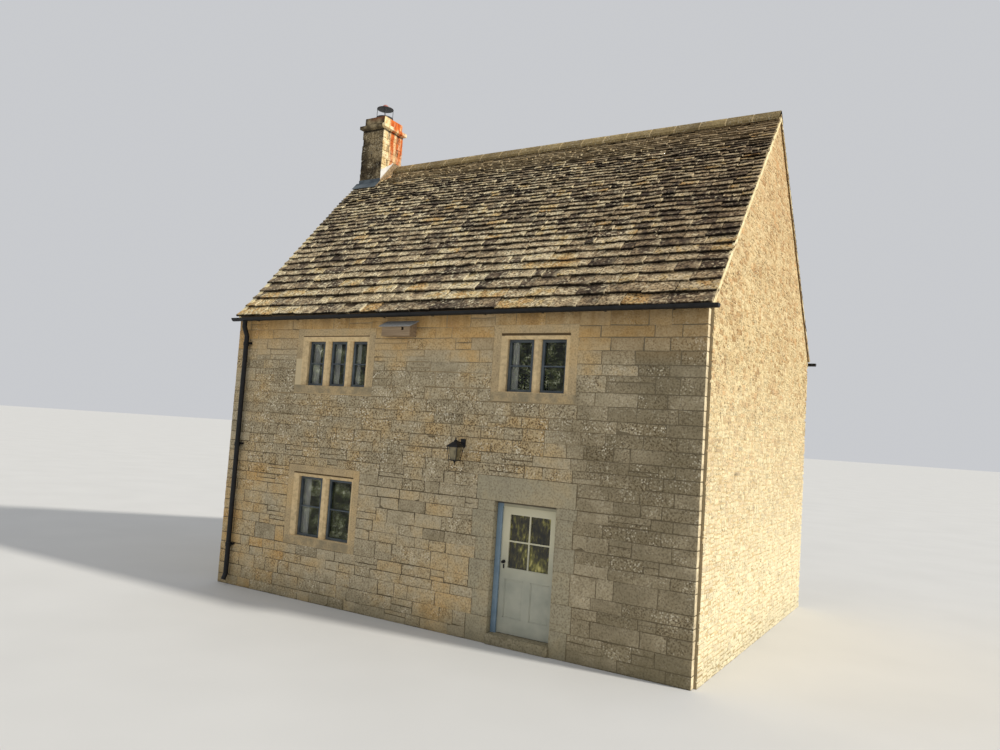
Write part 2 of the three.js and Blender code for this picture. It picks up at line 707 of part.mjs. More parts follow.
// A knob and rose on each face of the leaf, on one spindle
function doorKnob() {
  const outside = -(LEAF.y0 - SEAT);
  const inside = -(LEAF.y1 + SEAT);
  const half = (face, way) => [
    [KNOB.rose, face],
    [KNOB.rose, face + way * KNOB.gap],
    [KNOB.spindle, face + way * 2 * KNOB.gap],
    [KNOB.spindle, face + way * (KNOB.reach - 1.7 * KNOB.ball)],
    [KNOB.ball, face + way * (KNOB.reach - KNOB.ball)],
    [0.7 * KNOB.ball, face + way * (KNOB.reach - 0.2 * KNOB.ball)],
    [0, face + way * KNOB.reach],
  ];
  const inner = half(inside, -1).reverse();
  const outer = half(outside, 1);
  const profile = [...inner, [KNOB.spindle, inside], [KNOB.spindle, outside], ...outer];
  const points = profile.map(([r, along]) => new THREE.Vector2(r, along));
  return new THREE.LatheGeometry(points, 16).rotateX(Math.PI).translate(KNOB.x, 0, KNOB.z);
}

function addDoor() {
  const step = box([DOORWAY.x0 + SEAT, DOORWAY.x1 - SEAT], [-STEP_OUT, FRONT_WALL], [0, FLOOR_TOP]);
  addPiece('door_step', step, 'dressedStone');
  addPiece('door_frame', doorFrame(), 'framePaint');
  addPiece('door_leaf', doorLeaf(), 'doorPaint');
  addPiece('door_glass', doorGlass(), 'glass');
  addPiece('door_knob', doorKnob(), 'blackIron');
}

// Rainwater goods

function halfRound(radius, side) {
  return Array.from({ length: GUTTER.facets + 1 }, (_, i) => {
    const angle = Math.PI + (i * Math.PI) / GUTTER.facets;
    return [mirrored(GUTTER.y + radius * Math.cos(angle), side), GUTTER.top + radius * Math.sin(angle)];
  });
}

// Lowers each point by its share of the gutter's fall towards the downpipe
function letFall(geometry) {
  const places = geometry.attributes.position;
  for (let i = 0; i < places.count; i += 1) {
    const share = (GUTTER.x1 - places.getX(i)) / (GUTTER.x1 - GUTTER.x0);
    places.setZ(i, places.getZ(i) - share * GUTTER.fall);
  }
  return geometry;
}

function gutter(side) {
  const inner = GUTTER.radius - GUTTER.wall;
  const trough = prismX(halfRound(GUTTER.radius, side), GUTTER.x0, GUTTER.x1);
  const open = halfRound(inner, side);
  const mouth = [open[open.length - 1], open[0]].map(([y, z]) => [y, z + PAST]);
  const water = prismX([...open, ...mouth], GUTTER.x0 + GUTTER.wall, GUTTER.x1 - GUTTER.wall);
  const brackets = Array.from({ length: BRACKET.count }, (_, i) => {
    const x = BRACKET.first + i * BRACKET.pitch;
    const z = GUTTER.top - BRACKET.below;
    const y = [mirrored(GUTTER.y + inner * 0.7, side), mirrored(-SEAT, side)];
    return box([x, x + BRACKET.width], y, [z, z + BRACKET.height]);
  });
  const hanging = join(trough, ...brackets);
  return letFall(cut(hanging, water));
}

function gutterBottomAt(x) {
  return GUTTER.top - GUTTER.radius - (GUTTER.fall * (GUTTER.x1 - x)) / (GUTTER.x1 - GUTTER.x0);
}

function downpipe(side) {
  const at = (y, z) => [DOWNPIPE.x, mirrored(y, side), z];
  const top = gutterBottomAt(DOWNPIPE.x - DOWNPIPE.radius) - SEAT;
  const route = [at(GUTTER.y, top), at(GUTTER.y, DOWNPIPE.neckTop), at(DOWNPIPE.y, DOWNPIPE.neckBottom)];
  route.push(at(DOWNPIPE.y, DOWNPIPE.foot));
  const lengths = route.slice(1).map((end, i) => rod(DOWNPIPE.radius, 14, route[i], end));
  const bend = ([x, y, z]) => new THREE.SphereGeometry(DOWNPIPE.radius, 14, 10).translate(x, y, z);
  const bends = route.slice(1).map(bend);
  const shoeEnd = at(DOWNPIPE.y - DOWNPIPE.radius, DOWNPIPE.foot - DOWNPIPE.shoe + DOWNPIPE.radius);
  const shoe = rod(DOWNPIPE.radius, 14, at(DOWNPIPE.y, DOWNPIPE.foot), shoeEnd);
  const socket = (z) => rod(SOCKET.radius, 14, at(DOWNPIPE.y, z), at(DOWNPIPE.y, z + SOCKET.height));
  const sockets = SOCKET.heights.map(socket);
  const lugs = SOCKET.heights.map((z) => {
    const x = [DOWNPIPE.x - SOCKET.lug / 2, DOWNPIPE.x + SOCKET.lug / 2];
    const y = [mirrored(DOWNPIPE.y + DOWNPIPE.radius / 2, side), mirrored(-SEAT, side)];
    return box(x, y, [z + SOCKET.height - SOCKET.lugHeight, z + SOCKET.height]);
  });
  return join(...lengths, ...bends, shoe, ...sockets, ...lugs);
}

function addRainwaterGoods() {
  for (const side of ['front', 'back']) {
    addPiece(`gutter_${side}`, gutter(side), 'blackIron');
    addPiece(`downpipe_${side}`, downpipe(side), 'blackIron');
  }
}

// Wall lantern

// Four corners of a level square about the lantern's middle
function lanternSquare(half, z) {
  const { x, y } = LANTERN;
  return [[x - half, y - half, z], [x + half, y - half, z], [x + half, y + half, z], [x - half, y + half, z]];
}

// A turned profile set at a height on the lantern's middle line
function lanternTurning(profile, sides, z) {
  const raised = profile.map(([radius, rise]) => [radius, z + rise]);
  return turned(raised, sides, LANTERN.x, LANTERN.y);
}

function wallLantern() {
  const { x, y, bottom, base, roofBottom, neck } = LANTERN;
  const roof = hull([
    ...lanternSquare(LANTERN_ROOF.half, roofBottom),
    ...lanternSquare(LANTERN_ROOF.half, roofBottom + LANTERN_ROOF.rim),
    ...lanternSquare(LANTERN_ROOF.neckHalf, neck),
  ]);
  const plate = hull([
    ...lanternSquare(LANTERN_BASE.half, base),
    ...lanternSquare(LANTERN_BASE.half, base + LANTERN_BASE.thickness),
  ]);
  const bars = [[-1, -1], [1, -1], [1, 1], [-1, 1]].map(([a, b]) => {
    const { radius, footHalf, headHalf } = LANTERN_BAR;
    const foot = [x + a * footHalf, y + b * footHalf, base + PAST];
    const head = [x + a * headHalf, y + b * headHalf, roofBottom + PAST];
    return rod(radius, 6, foot, head);
  });
  const wallPlate = box(
    [x - LANTERN_PLATE.left, x + LANTERN_PLATE.right],
    [-LANTERN_PLATE.thickness, -SEAT],
    [neck - LANTERN_PLATE.below, neck + LANTERN_PLATE.above],
  );
  const wallEnd = [x + LANTERN_ARM.shift, PAST - LANTERN_PLATE.thickness, neck - LANTERN_ARM.below];
  const arm = rod(LANTERN_ARM.radius, 8, wallEnd, [x, y, neck + LANTERN_ARM.above]);
  const cap = lanternTurning(LANTERN_CAP, 16, neck);
  const finial = lanternTurning(LANTERN_FINIAL, 12, bottom);
  return join(roof, cap, plate, finial, ...bars, wallPlate, arm);
}

function lanternGlass() {
  const { base, roofBottom } = LANTERN;
  return hull([
    ...lanternSquare(LANTERN_GLASS.footHalf, base + LANTERN_BASE.thickness + SEAT),
    ...lanternSquare(LANTERN_GLASS.headHalf, roofBottom - SEAT),
  ]);
}

// Nest box

const LID_SLOPE = (NEST_BOX.backTop - NEST_BOX.frontTop) / (NEST_BOX.out - SEAT);

function lidHeight(y) {
  return NEST_BOX.backTop + (y + SEAT) * LID_SLOPE;
}

function nestBox() {
  const { x0, x1, out, bottom, board } = NEST_BOX;
  const side = [[-out, bottom], [-SEAT, bottom], [-SEAT, lidHeight(-SEAT)], [-out, lidHeight(-out)]];
  const shell = prismX(side, x0, x1);
  const depth = [-out + board, -board];
  const inside = box([x0 + board, x1 - board], depth, [bottom + board, NEST_BOX.backTop + PAST]);
  const { x, z, half } = NEST_HOLE;
  const hole = box([x - half, x + half], [-out - PAST, -out + board + PAST], [z - half, z + half]);
  return cut(shell, inside, hole);
}

function nestBoxLid() {
  const { over, out, thickness } = NEST_LID;
  const seat = SEAT * Math.hypot(1, LID_SLOPE);
  const under = (y) => [y, lidHeight(y) + seat];
  const above = (y) => [y, lidHeight(y) + seat + thickness];
  const section = [under(-out), under(-SEAT), above(-SEAT), above(-out)];
  return prismX(section, NEST_BOX.x0 - over, NEST_BOX.x1 + over);
}

function addFittings() {
  addPiece('wall_lantern', wallLantern(), 'blackIron');
  addPiece('lantern_glass', lanternGlass(), 'glass');
  addPiece('nest_box', nestBox(), 'nestBoard');
  addPiece('nest_box_lid', nestBoxLid(), 'lidFelt');
}

addFloors();
addFrontAndBackWalls();
addGables();
addRoof();
addChimney();
addWindows();
addDoor();
addRainwaterGoods();
addFittings();

// The origin is the middle of the house's box, on the ground
const middle = new THREE.Box3().setFromObject(house).getCenter(new THREE.Vector3());
house.position.set(-middle.x, -middle.y, 0);
house.updateMatrixWorld(true);

export default house;
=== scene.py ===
# A stone-roofed cottage, in metres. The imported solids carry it, and this script lays its stones, slates and
# finishes on them, in the order in which the house is put together.
import math

import bpy
import numpy as np
from mathutils import Matrix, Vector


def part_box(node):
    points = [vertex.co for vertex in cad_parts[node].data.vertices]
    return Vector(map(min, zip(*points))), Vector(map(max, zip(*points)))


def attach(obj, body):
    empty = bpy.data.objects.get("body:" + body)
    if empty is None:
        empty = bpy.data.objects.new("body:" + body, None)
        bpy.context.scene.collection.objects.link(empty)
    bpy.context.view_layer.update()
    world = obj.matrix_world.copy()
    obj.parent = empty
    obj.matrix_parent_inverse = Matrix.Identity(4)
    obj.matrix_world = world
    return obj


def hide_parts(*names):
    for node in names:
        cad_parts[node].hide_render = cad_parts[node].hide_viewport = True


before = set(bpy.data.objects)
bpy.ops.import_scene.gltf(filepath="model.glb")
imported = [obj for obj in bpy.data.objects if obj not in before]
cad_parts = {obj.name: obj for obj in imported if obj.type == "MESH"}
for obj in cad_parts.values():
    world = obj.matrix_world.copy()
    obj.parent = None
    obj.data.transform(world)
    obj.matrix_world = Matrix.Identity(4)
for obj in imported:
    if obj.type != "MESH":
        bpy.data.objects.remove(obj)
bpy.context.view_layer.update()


# The floors
# The ground floor is pale stone flags on the earth, and the upper floor is wide boards on its joists.
# The roof timbers are the same sawn oak: a ridge beam and a purlin under each slope, built into the gables.
def paint(red, green, blue):
    """A colour as it is seen, 0 to 255, changed to the linear shares that a shader works in."""
    seen = np.array([red, green, blue]) / 255.0
    linear = np.where(seen <= 0.04045, seen / 12.92, ((seen + 0.055) / 1.055) ** 2.4)
    return (*linear.tolist(), 1.0)


class Finish:
    """One finish: a shader, and patterns worked out on the piece's own coordinates in metres."""

    def __init__(self, name, roughness, specular=0.3, metallic=0.0):
        self.material = bpy.data.materials.new(name)
        self.material.use_nodes = True
        self.tree = self.material.node_tree
        self.shader = self.tree.nodes["Principled BSDF"]
        self.shader.inputs["Roughness"].default_value = roughness
        self.shader.inputs["Specular IOR Level"].default_value = specular
        self.shader.inputs["Metallic"].default_value = metallic
        self.place = self.tree.nodes.new("ShaderNodeTexCoord").outputs["Object"]

    def node(self, kind, values, **choices):
        """Adds a node, makes its choices, and gives each input its number or its link."""
        made = self.tree.nodes.new("ShaderNode" + kind)
        for choice, option in choices.items():
            setattr(made, choice, option)
        for socket, value in values.items():
            if isinstance(value, bpy.types.NodeSocket):
                self.tree.links.new(value, made.inputs[socket])
            else:
                made.inputs[socket].default_value = value
        return made.outputs

    def noise(self, scale, detail=3.0, stretch=(1.0, 1.0, 1.0)):
        """A cloud pattern from 0 to 1 with blobs 1/scale metres across, shorter along a stretched axis."""
        place = self.node("VectorMath", {0: self.place, 1: stretch}, operation="MULTIPLY")[0]
        return self.node("TexNoise", {"Vector": place, "Scale": scale, "Detail": detail})[0]

    def specks(self, scale, size):
        """Round specks, 1/scale metres apart: 1 near a point, and 0 beyond this share of their spacing."""
        far = self.node("TexVoronoi", {"Vector": self.place, "Scale": scale})["Distance"]
        return self.rise(far, size * 0.6, size, 1.0, 0.0)

    def mark(self, name):
        """The number that each point of the piece carries under this name."""
        return self.node("Attribute", {}, attribute_name=name)["Fac"]

    def axis(self, name):
        """The place along X, Y or Z in the house. Z is the height above the ground."""
        return self.node("SeparateXYZ", {0: self.place})[name]

    def band(self, value, middle, half, soft):
        """1 within half a width of the middle, and down to 0 over the soft distance beyond it."""
        away = self.reckon("ABSOLUTE", self.reckon("SUBTRACT", value, middle))
        return self.rise(away, half, half + soft, 1.0, 0.0)

    def rise(self, value, low, high, at_low=0.0, at_high=1.0):
        """Carries the value from one range to another, and holds it at the ends."""
        return self.node("MapRange", {0: value, 1: low, 2: high, 3: at_low, 4: at_high})[0]

    def along(self, axis, low, high, at_low=0.0, at_high=1.0):
        """The place along an axis, carried in the same way."""
        return self.rise(self.axis(axis), low, high, at_low, at_high)

    def clouds(self, scale, detail, low, high, at_low=0.0, at_high=1.0):
        """A cloud pattern, carried in the same way."""
        return self.rise(self.noise(scale, detail), low, high, at_low, at_high)

    def reckon(self, kind, *values):
        """One step of arithmetic, of the kind named, on one, two or three values."""
        return self.node("Math", dict(enumerate(values)), operation=kind)[0]

    def add(self, first, second):
        return self.reckon("ADD", first, second)

    def times(self, first, *others):
        for other in others:
            first = self.reckon("MULTIPLY", first, other)
        return first

    def shades(self, value, stops):
        """A colour from a scale of colours, each at its place from 0 to 1."""
        outputs = self.node("ValToRGB", {0: value})
        scale = self.tree.nodes[-1].color_ramp
        while len(scale.elements) < len(stops):
            scale.elements.new(1.0)
        for element, (place, colour) in zip(scale.elements, stops):
            element.position = place
            element.color = paint(*colour)
        return outputs[0]

    def mottled(self, scale, detail, dark, light, stretch=(1.0, 1.0, 1.0)):
        """Two shades, mixed by a cloud pattern."""
        return self.shades(self.noise(scale, detail, stretch), [(0.3, dark), (0.7, light)])

    def blend(self, amount, first, second, way="MIX"):
        """The first colour, and as the amount nears 1 the second, or the two multiplied."""
        return self.node("Mix", {0: amount, 6: first, 7: second}, data_type="RGBA", blend_type=way)[2]

    def colour(self, colour):
        self.tree.links.new(colour, self.shader.inputs["Base Color"])

    def wash(self, amount, shade, way="MIX"):
        """Lays a shade, or a pattern of shades, over the colour so far."""
        so_far = self.shader.inputs["Base Color"].links[0].from_socket
        self.colour(self.blend(amount, so_far, paint(*shade) if isinstance(shade, tuple) else shade, way))

    def relief(self, height, depth):
        """Bump: the height, from 0 to 1, stands this many metres deep."""
        bump = self.node("Bump", {"Strength": 1.0, "Distance": depth, "Height": height})[0]
        self.tree.links.new(bump, self.shader.inputs["Normal"])


def coat(finish, *nodes):
    """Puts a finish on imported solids."""
    for node in nodes:
        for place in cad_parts[node].material_slots:
            place.material = finish.material


def sawn_timber(name, light, dark, grain):
    """Wood whose tone runs in long streaks along one axis, with finer streaks as its relief."""
    wood = Finish(name, roughness=0.75)
    streaks = wood.noise(30.0, 4.0, grain)
    wood.colour(wood.shades(streaks, [(0.25, dark), (0.75, light)]))
    wood.relief(wood.noise(90.0, 3.0, grain), 0.002)
    return wood


def plain(name, roughness, specular, blots, dark, light, bumps, grain=(1.0, 1.0, 1.0)):
    """Two shades mixed by blots, with bumps as the relief. Both are cloud patterns: blots are given as scale
    and detail, and bumps as scale, detail and depth in metres."""
    made = Finish(name, roughness, specular)
    made.colour(made.mottled(*blots, dark, light, grain))
    made.relief(made.noise(*bumps[:2], grain), bumps[2])
    return made


flags = plain("stone flags", 0.7, 0.3, (3.0, 5.0), (150, 138, 112), (186, 172, 142), (20.0, 4.0, 0.003))
oak = sawn_timber("oak boards", (150, 118, 80), (96, 72, 46), (0.05, 1.0, 1.0))
coat(flags, "ground_floor")
coat(oak, "upper_floor", "ridge_beam", "purlin_front", "purlin_back")


# The front wall
# Coursed local limestone, roughly squared, laid in lime mortar on a rubble core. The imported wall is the
# mortar, and each stone is its own block whose face stands a few millimetres out of it.
def limestone(name, stops, spread, pits, flecks, relief, tint=None, eaves=None):
    """Stone from a scale of shades. A stone's own tint, moved by a wide and a narrow cloud pattern, picks its
    place on the scale. A fine mottle, small dark pits and pale flecks are stronger where the stone is worn.
    The foot of a wall is darker. Brown streaks run down from the eaves over a band of painted shade that is
    darkest just under them."""
    stone = Finish(name, roughness=0.92, specular=0.2)
    tint = stone.mark("tint") if tint is None else stone.noise(tint, 2.0)
    wide = stone.clouds(1.1, 3.0, 0.32, 0.68, -spread, spread)
    narrow = stone.clouds(5.0, 4.0, 0.32, 0.68, -spread * 0.6, spread * 0.6)
    stone.colour(stone.shades(stone.add(tint, stone.add(wide, narrow)), stops))
    worn = stone.mark("worn") if pits > 0 else 0.0
    grain = stone.noise(36.0, 4.0)
    mottle = stone.shades(grain, [(0.36, (150, 142, 128)), (0.47, (228, 222, 212)), (0.62, (255, 255, 252))])
    stone.wash(stone.rise(worn, 0.0, 1.0, 0.45, 1.0), mottle, "MULTIPLY")
    pit = stone.times(stone.specks(34.0, 0.42), stone.clouds(5.0, 2.0, 0.42, 0.62), pits)
    pit = stone.times(pit, stone.rise(worn, 0.0, 1.0, 0.2, 1.0))
    stone.wash(pit, (92, 78, 58))
    fleck = stone.times(stone.specks(27.0, 0.4), stone.clouds(4.0, 2.0, 0.45, 0.6, 0.0, flecks))
    stone.wash(stone.times(fleck, stone.rise(worn, 0.0, 1.0, 0.1, 1.0)), (240, 230, 204))
    damp = stone.add(stone.axis("Z"), stone.clouds(4.0, 3.0, 0.3, 0.7, -0.12, 0.12))
    stone.wash(stone.rise(damp, 0.05, 0.5, 0.45, 0.0), (112, 104, 78))
    if eaves is not None:
        # Painted shade and brown stains under the eaves: a band darkest just below them, broken into streaks.
        streak_and_eaves_shade = stone.rise(stone.noise(7.0, 3.0, (1.0, 1.0, 0.1)), 0.42, 0.62, 0.25, 0.75)
        stone.wash(stone.times(streak_and_eaves_shade, stone.along("Z", eaves - 0.38, eaves - 0.04)), (118, 94, 62))
    rough = stone.add(stone.times(grain, 0.7), stone.noise(12.0, 4.0))
    stone.relief(stone.add(rough, stone.times(pit, -0.8)), relief)
    return stone


def surface(name, points, faces, finish, marks=None, sharp=40.0, body="house"):
    """A mesh from an array of points and arrays of faces, one array for each number of corners. Faces meet
    smoothly where they turn less than the sharp angle. A mark is a number kept at every point, or given once
    for each of the like parts that the points make up."""
    mesh = bpy.data.meshes.new(name)
    corners = np.concatenate([group.ravel() for group in faces])
    sizes = np.concatenate([np.full(len(group), group.shape[1]) for group in faces])
    mesh.vertices.add(len(points))
    mesh.vertices.foreach_set("co", points.astype(np.float32).ravel())
    mesh.loops.add(len(corners))
    mesh.loops.foreach_set("vertex_index", corners.astype(np.int32))
    mesh.polygons.add(len(sizes))
    mesh.polygons.foreach_set("loop_start", (np.cumsum(sizes) - sizes).astype(np.int32))
    mesh.update(calc_edges=True)
    mesh.set_sharp_from_angle(angle=math.radians(sharp))
    for mark, values in (marks or {}).items():
        at_points = np.repeat(values, len(points) // len(values)).astype(np.float32)
        mesh.attributes.new(mark, "FLOAT", "POINT").data.foreach_set("value", at_points)
    mesh.materials.append(finish.material)
    piece = bpy.data.objects.new(name, mesh)
    bpy.context.scene.collection.objects.link(piece)
    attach(piece, body)
    return piece


def pillow_faces(count, across, up):
    """The faces of many stones at once: a grid of quads over each front, and its rim closed by one face
    behind. Point i across and j up of stone k is number k * across * up + i * up + j."""
    i, j = np.meshgrid(np.arange(across - 1), np.arange(up - 1), indexing="ij")
    first = (i * up + j).ravel()
    quads = np.stack([first, first + up, first + up + 1, first + 1], axis=1)
    left = np.arange(up)
    top = np.arange(1, across) * up + up - 1
    right = (across - 1) * up + np.arange(up - 2, -1, -1)
    bottom = np.arange(across - 2, 0, -1) * up
    rim = np.concatenate([left, top, right, bottom])
    start = (np.arange(count) * across * up)[:, None, None]
    return [(quads[None] + start).reshape(-1, 4), (rim[None, None] + start).reshape(-1, len(rim))]


def pillow_stones(corners, across, up, joint, proud, chip, rough, rng):
    """Stones laid in a wall: corners holds each one's four corners in the wall's plane. A point is the
    blend of its four corners, held back by half a joint. The rim is sunk in the mortar, the next ring is
    the arris, and inside it the face swells with the product of two half waves, tilts a little and is
    roughened at random. Gives across, up and out for each point."""
    size = np.linalg.norm(corners[:, [1, 3]] - corners[:, [0]], axis=2)
    edge = joint / 2 + np.array([0.0, 0.001, chip])

    def steps(length, number):
        held = np.minimum(edge[None] / length[:, None], 0.3)
        inner = np.linspace(0.0, 1.0, number - 4)[None]
        inside = held[:, [2]] + inner * (1 - 2 * held[:, [2]])
        return np.concatenate([held[:, :2], inside, 1 - held[:, 1::-1]], axis=1)

    s = steps(size[:, 0], across)[:, :, None, None]
    t = steps(size[:, 1], up)[:, None, :, None]
    c = corners[:, None, None]
    plane = (c[..., 0, :] * (1 - s) * (1 - t) + c[..., 1, :] * s * (1 - t)
             + c[..., 2, :] * s * t + c[..., 3, :] * (1 - s) * t)
    ragged = rng.normal(0.0, joint * 0.16, plane.shape)
    i = np.clip(np.arange(across), 1, across - 2)
    j = np.clip(np.arange(up), 1, up - 2)
    plane = plane + ragged[:, i][:, :, j]
    swell = np.sin(np.pi * s[..., 0]) * np.sin(np.pi * t[..., 0])
    tilt = 2 * rng.normal(0.0, proud * 0.25, (len(corners), 2, 1, 1))
    out = proud * (0.75 + 0.5 * swell) + tilt[:, 0] * (s[..., 0] - 0.5) + tilt[:, 1] * (t[..., 0] - 0.5)
    out = out + rng.normal(0.0, rough, out.shape)
    ring = np.minimum.outer(np.minimum(np.arange(across), np.arange(across)[::-1]),
                            np.minimum(np.arange(up), np.arange(up)[::-1]))
    sunk, arris = -0.012, proud * 0.2
    out = np.where(ring == 0, sunk, np.where(ring == 1, arris, out))
    plane[..., 1] = np.maximum(plane[..., 1], 0.0)
    return np.concatenate([plane, out[..., None]], axis=3)


def stand(flat, origin, across, up, out):
    """Carries points given as across, up and out to the place where that plane stands in the house."""
    return flat.reshape(-1, 3) @ np.array([across, up, out], float) + np.array(origin, float)


def rows_between(stops, height, rng):
    """Levels of the courses: each gap between stops is shared out at random, at about this height each."""
    levels = [stops[0]]
    for low, high in zip(stops, stops[1:]):
        shares = rng.uniform(0.7, 1.3, max(1, round((high - low) / height)))
        levels += (low + (high - low) * np.cumsum(shares) / shares.sum()).tolist()
    return levels


def lay_course(low, high, start, end, blocks, length, rng):
    """The stones of one course, between the blocks that are already there. Each free length is shared out at
    random, and what a block leaves free above or below itself is filled with thinner stones."""
    overlap, least = 0.01, 0.03
    free = [(start, end, low, high)]
    for x0, z0, x1, z1 in blocks:
        if z1 <= low + overlap or z0 >= high - overlap:
            continue
        kept = []
        for a, b, c, d in free:
            if x1 <= a or x0 >= b:
                kept.append((a, b, c, d))
                continue
            kept.append((a, x0, c, d))
            kept.append((x1, b, c, d))
            kept.append((max(a, x0), min(b, x1), z1, d))
            kept.append((max(a, x0), min(b, x1), c, z0))
        free = [(a, b, c, d) for a, b, c, d in kept if b - a > least and d - c > least]
    stones = []
    for a, b, c, d in free:
        shares = rng.uniform(0.5, 1.5, max(1, round((b - a) / length)))
        ends = a + (b - a) * np.concatenate([[0.0], np.cumsum(shares) / shares.sum()])
        stones += [(p, c, q, d) for p, q in zip(ends, ends[1:])]
    return stones


def halved(stones, chance, rng):
    """Some of the taller stones are two thin ones instead."""
    made, tall_enough = [], 0.15
    for a, c, b, d in stones:
        if rng.random() < chance and d - c > tall_enough:
            middle = c + (d - c) * rng.uniform(0.35, 0.65)
            made += [(a, c, b, middle), (a, middle, b, d)]
        else:
            made.append((a, c, b, d))
    return made


def skewed(stones, amount, rng):
    """The four corners of each upright rectangle, anticlockwise, each moved at random."""
    a, c, b, d = np.array(stones).T
    corners = np.stack([np.stack(corner, 1) for corner in ((a, c), (b, c), (b, d), (a, d))], 1)
    return corners + rng.normal(0.0, amount, corners.shape)


def opening(node):
    """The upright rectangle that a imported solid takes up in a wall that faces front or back."""
    low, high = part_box(node)
    return (low.x, low.z, high.x, high.z)


def ramp(value, start, length, least=0.0):
    """Rises from 0 at the start to 1 over the length, and is held at 1 and at its least value."""
    return np.clip((value - start) / length, least, 1.0)


def front_tint(x, z):
    """The usual tint at a place on the front wall: honey under the eaves and on the large blocks at the lower
    left, and grey towards the right-hand end."""
    honey = ramp(z, 4.2, 0.5)
    grey = ramp(x - 0.3 * np.sin(z * 1.7), 2.3, 1.1) * ramp(4.2 + 0.1 * x - z, 0.0, 0.25, 0.3)
    big_blocks = ramp(-x, 3.0, 0.3) * ramp(-z, -2.4, 0.3)
    return 0.5 + 0.2 * honey * (1 - grey) - 0.36 * grey + 0.14 * big_blocks


FRONT_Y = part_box("front_wall_lower_left")[0].y
LEFT_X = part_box("front_wall_lower_left")[0].x
CORNER_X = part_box("front_wall_lower_right")[1].x
WALL_TOP = 4.985
LINTEL_LEFT, LINTEL_RIGHT, LINTEL_TOP = 1.02, 2.70, 2.485
DEEP_QUOIN, SHALLOW_QUOIN = 0.52, 0.30
DOOR_HEAD = 2.1103
door_left, door_right = [corner.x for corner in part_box("front_wall_over_door")]
WINDOW_PLACES = ("ground_left", "upper_left", "upper_right")
front_windows = [opening("window_%s_surround" % place) for place in WINDOW_PLACES]
mason = np.random.default_rng(11)
front_levels = rows_between([0.0, 0.936, 1.55, 2.11, LINTEL_TOP, 2.83, 3.601, 4.761, WALL_TOP], 0.205, mason)

left_quoins, right_quoins, door_jambs, laid = [], [], [], []
for course, (low, high) in enumerate(zip(front_levels, front_levels[1:])):
    long_one = course % 2 == 0
    left_quoins.append((LEFT_X, low, LEFT_X + (DEEP_QUOIN if long_one else SHALLOW_QUOIN), high))
    right_quoins.append((CORNER_X - (0.34 if long_one else 0.5), low, CORNER_X, high))
    taken = [left_quoins[-1], right_quoins[-1], *front_windows]
    if high < DOOR_HEAD + 0.02:
        out = (0.38, 0.28) if course // 2 % 2 == 0 else (0.29, 0.33)
        if long_one:
            door_jambs += [[door_left - out[0], low, door_left, high],
                           [door_right, low, door_right + out[1], high]]
        door_jambs[-2][3] = door_jambs[-1][3] = high
        taken += [door_jambs[-2], door_jambs[-1], (door_left, low, door_right, high)]
    elif low < LINTEL_TOP - 0.05:
        taken.append((LINTEL_LEFT, low, LINTEL_RIGHT, high))
    length = 0.42 if low < 2.9 else 0.5
    laid += lay_course(low, high, LEFT_X, CORNER_X, taken, length, mason)
laid = halved(laid, 0.16, mason)
corners = skewed(laid, 0.0045, mason)
x, z = corners.mean(axis=1).T

honey_top = ramp(z, 4.3, 0.3)
pitted_left = ramp(-x, 1.6, 1.0) * ramp(-z, -4.3, 0.3) * ramp(z, 2.0, 0.3, 0.15)
pitted_middle = 0.7 * ramp(-abs(z - 3.1), -1.1, 0.6) * ramp(-x, -2.6, 0.6, 0.25)
pitted = np.maximum(pitted_left, pitted_middle)
tints = front_tint(x, z) + mason.normal(0.0, 0.05, len(corners))
tints = np.where(mason.random(len(corners)) < 0.03, 0.3, tints)
wear = np.clip(pitted * (1 - honey_top) + mason.normal(0.25, 0.2, len(corners)), 0, 1)

ACROSS, UP = 9, 7
FRONT_SHADES = [(0.0, (143, 132, 107)), (0.2, (156, 144, 118)), (0.45, (193, 180, 152)),
                (0.62, (204, 182, 142)), (0.8, (210, 175, 120)), (0.92, (204, 164, 112)),
                (1.0, (178, 136, 98))]
front_stone = limestone("coursed limestone", FRONT_SHADES, 0.14, 0.9, 0.85, 0.012, eaves=4.95)
high_up = front_stone.along("Z", 4.2, 4.6)
front_stone.wash(front_stone.times(high_up, 0.3), (206, 164, 102))
dim_end = front_stone.along("X", 2.3, 3.4, 0.0, 0.32)
front_stone.wash(front_stone.times(high_up, dim_end), (112, 92, 60))
# Painted sunlight: the corner's return is painted pale cream in blots.
painted_sunlit_return = front_stone.along("X", CORNER_X, CORNER_X + 0.003)
sun_blots = front_stone.clouds(8.0, 4.0, 0.35, 0.6, 0.45, 0.9)
front_stone.wash(front_stone.times(painted_sunlit_return, sun_blots), (244, 226, 188))
flat = pillow_stones(corners, ACROSS, UP, 0.008, 0.005, 0.006, 0.0012, mason)
surface("front_wall_stones", stand(flat, (0, FRONT_Y, 0), (1, 0, 0), (0, 0, 1), (0, -1, 0)),
        pillow_faces(len(corners), ACROSS, UP), front_stone, {"tint": tints, "worn": wear})

MORTAR_SHADES = [(0.2, (84, 74, 58)), (0.5, (106, 95, 75)), (0.8, (130, 117, 93))]
mortar = limestone("lime mortar, weathered", MORTAR_SHADES, 0.1, 0.0, 0.0, 0.006, tint=9.0)
flush = mortar.add(mortar.along("Z", 2.6, 3.9, 0.0, 0.85), mortar.along("X", 1.6, 3.0, 0.0, 0.5))
flush_shades = mortar.shades(mortar.noise(3.0, 4.0), [(0.35, (128, 114, 88)), (0.65, (172, 152, 116))])
grey_end = mortar.along("X", 2.2, 3.2, 0.0, 0.85)
mortar.wash(flush, mortar.blend(grey_end, flush_shades, paint(108, 99, 80)))
for part in ("lower_left", "lower_right", "over_door", "upper_left", "upper_right"):
    coat(mortar, "front_wall_" + part)


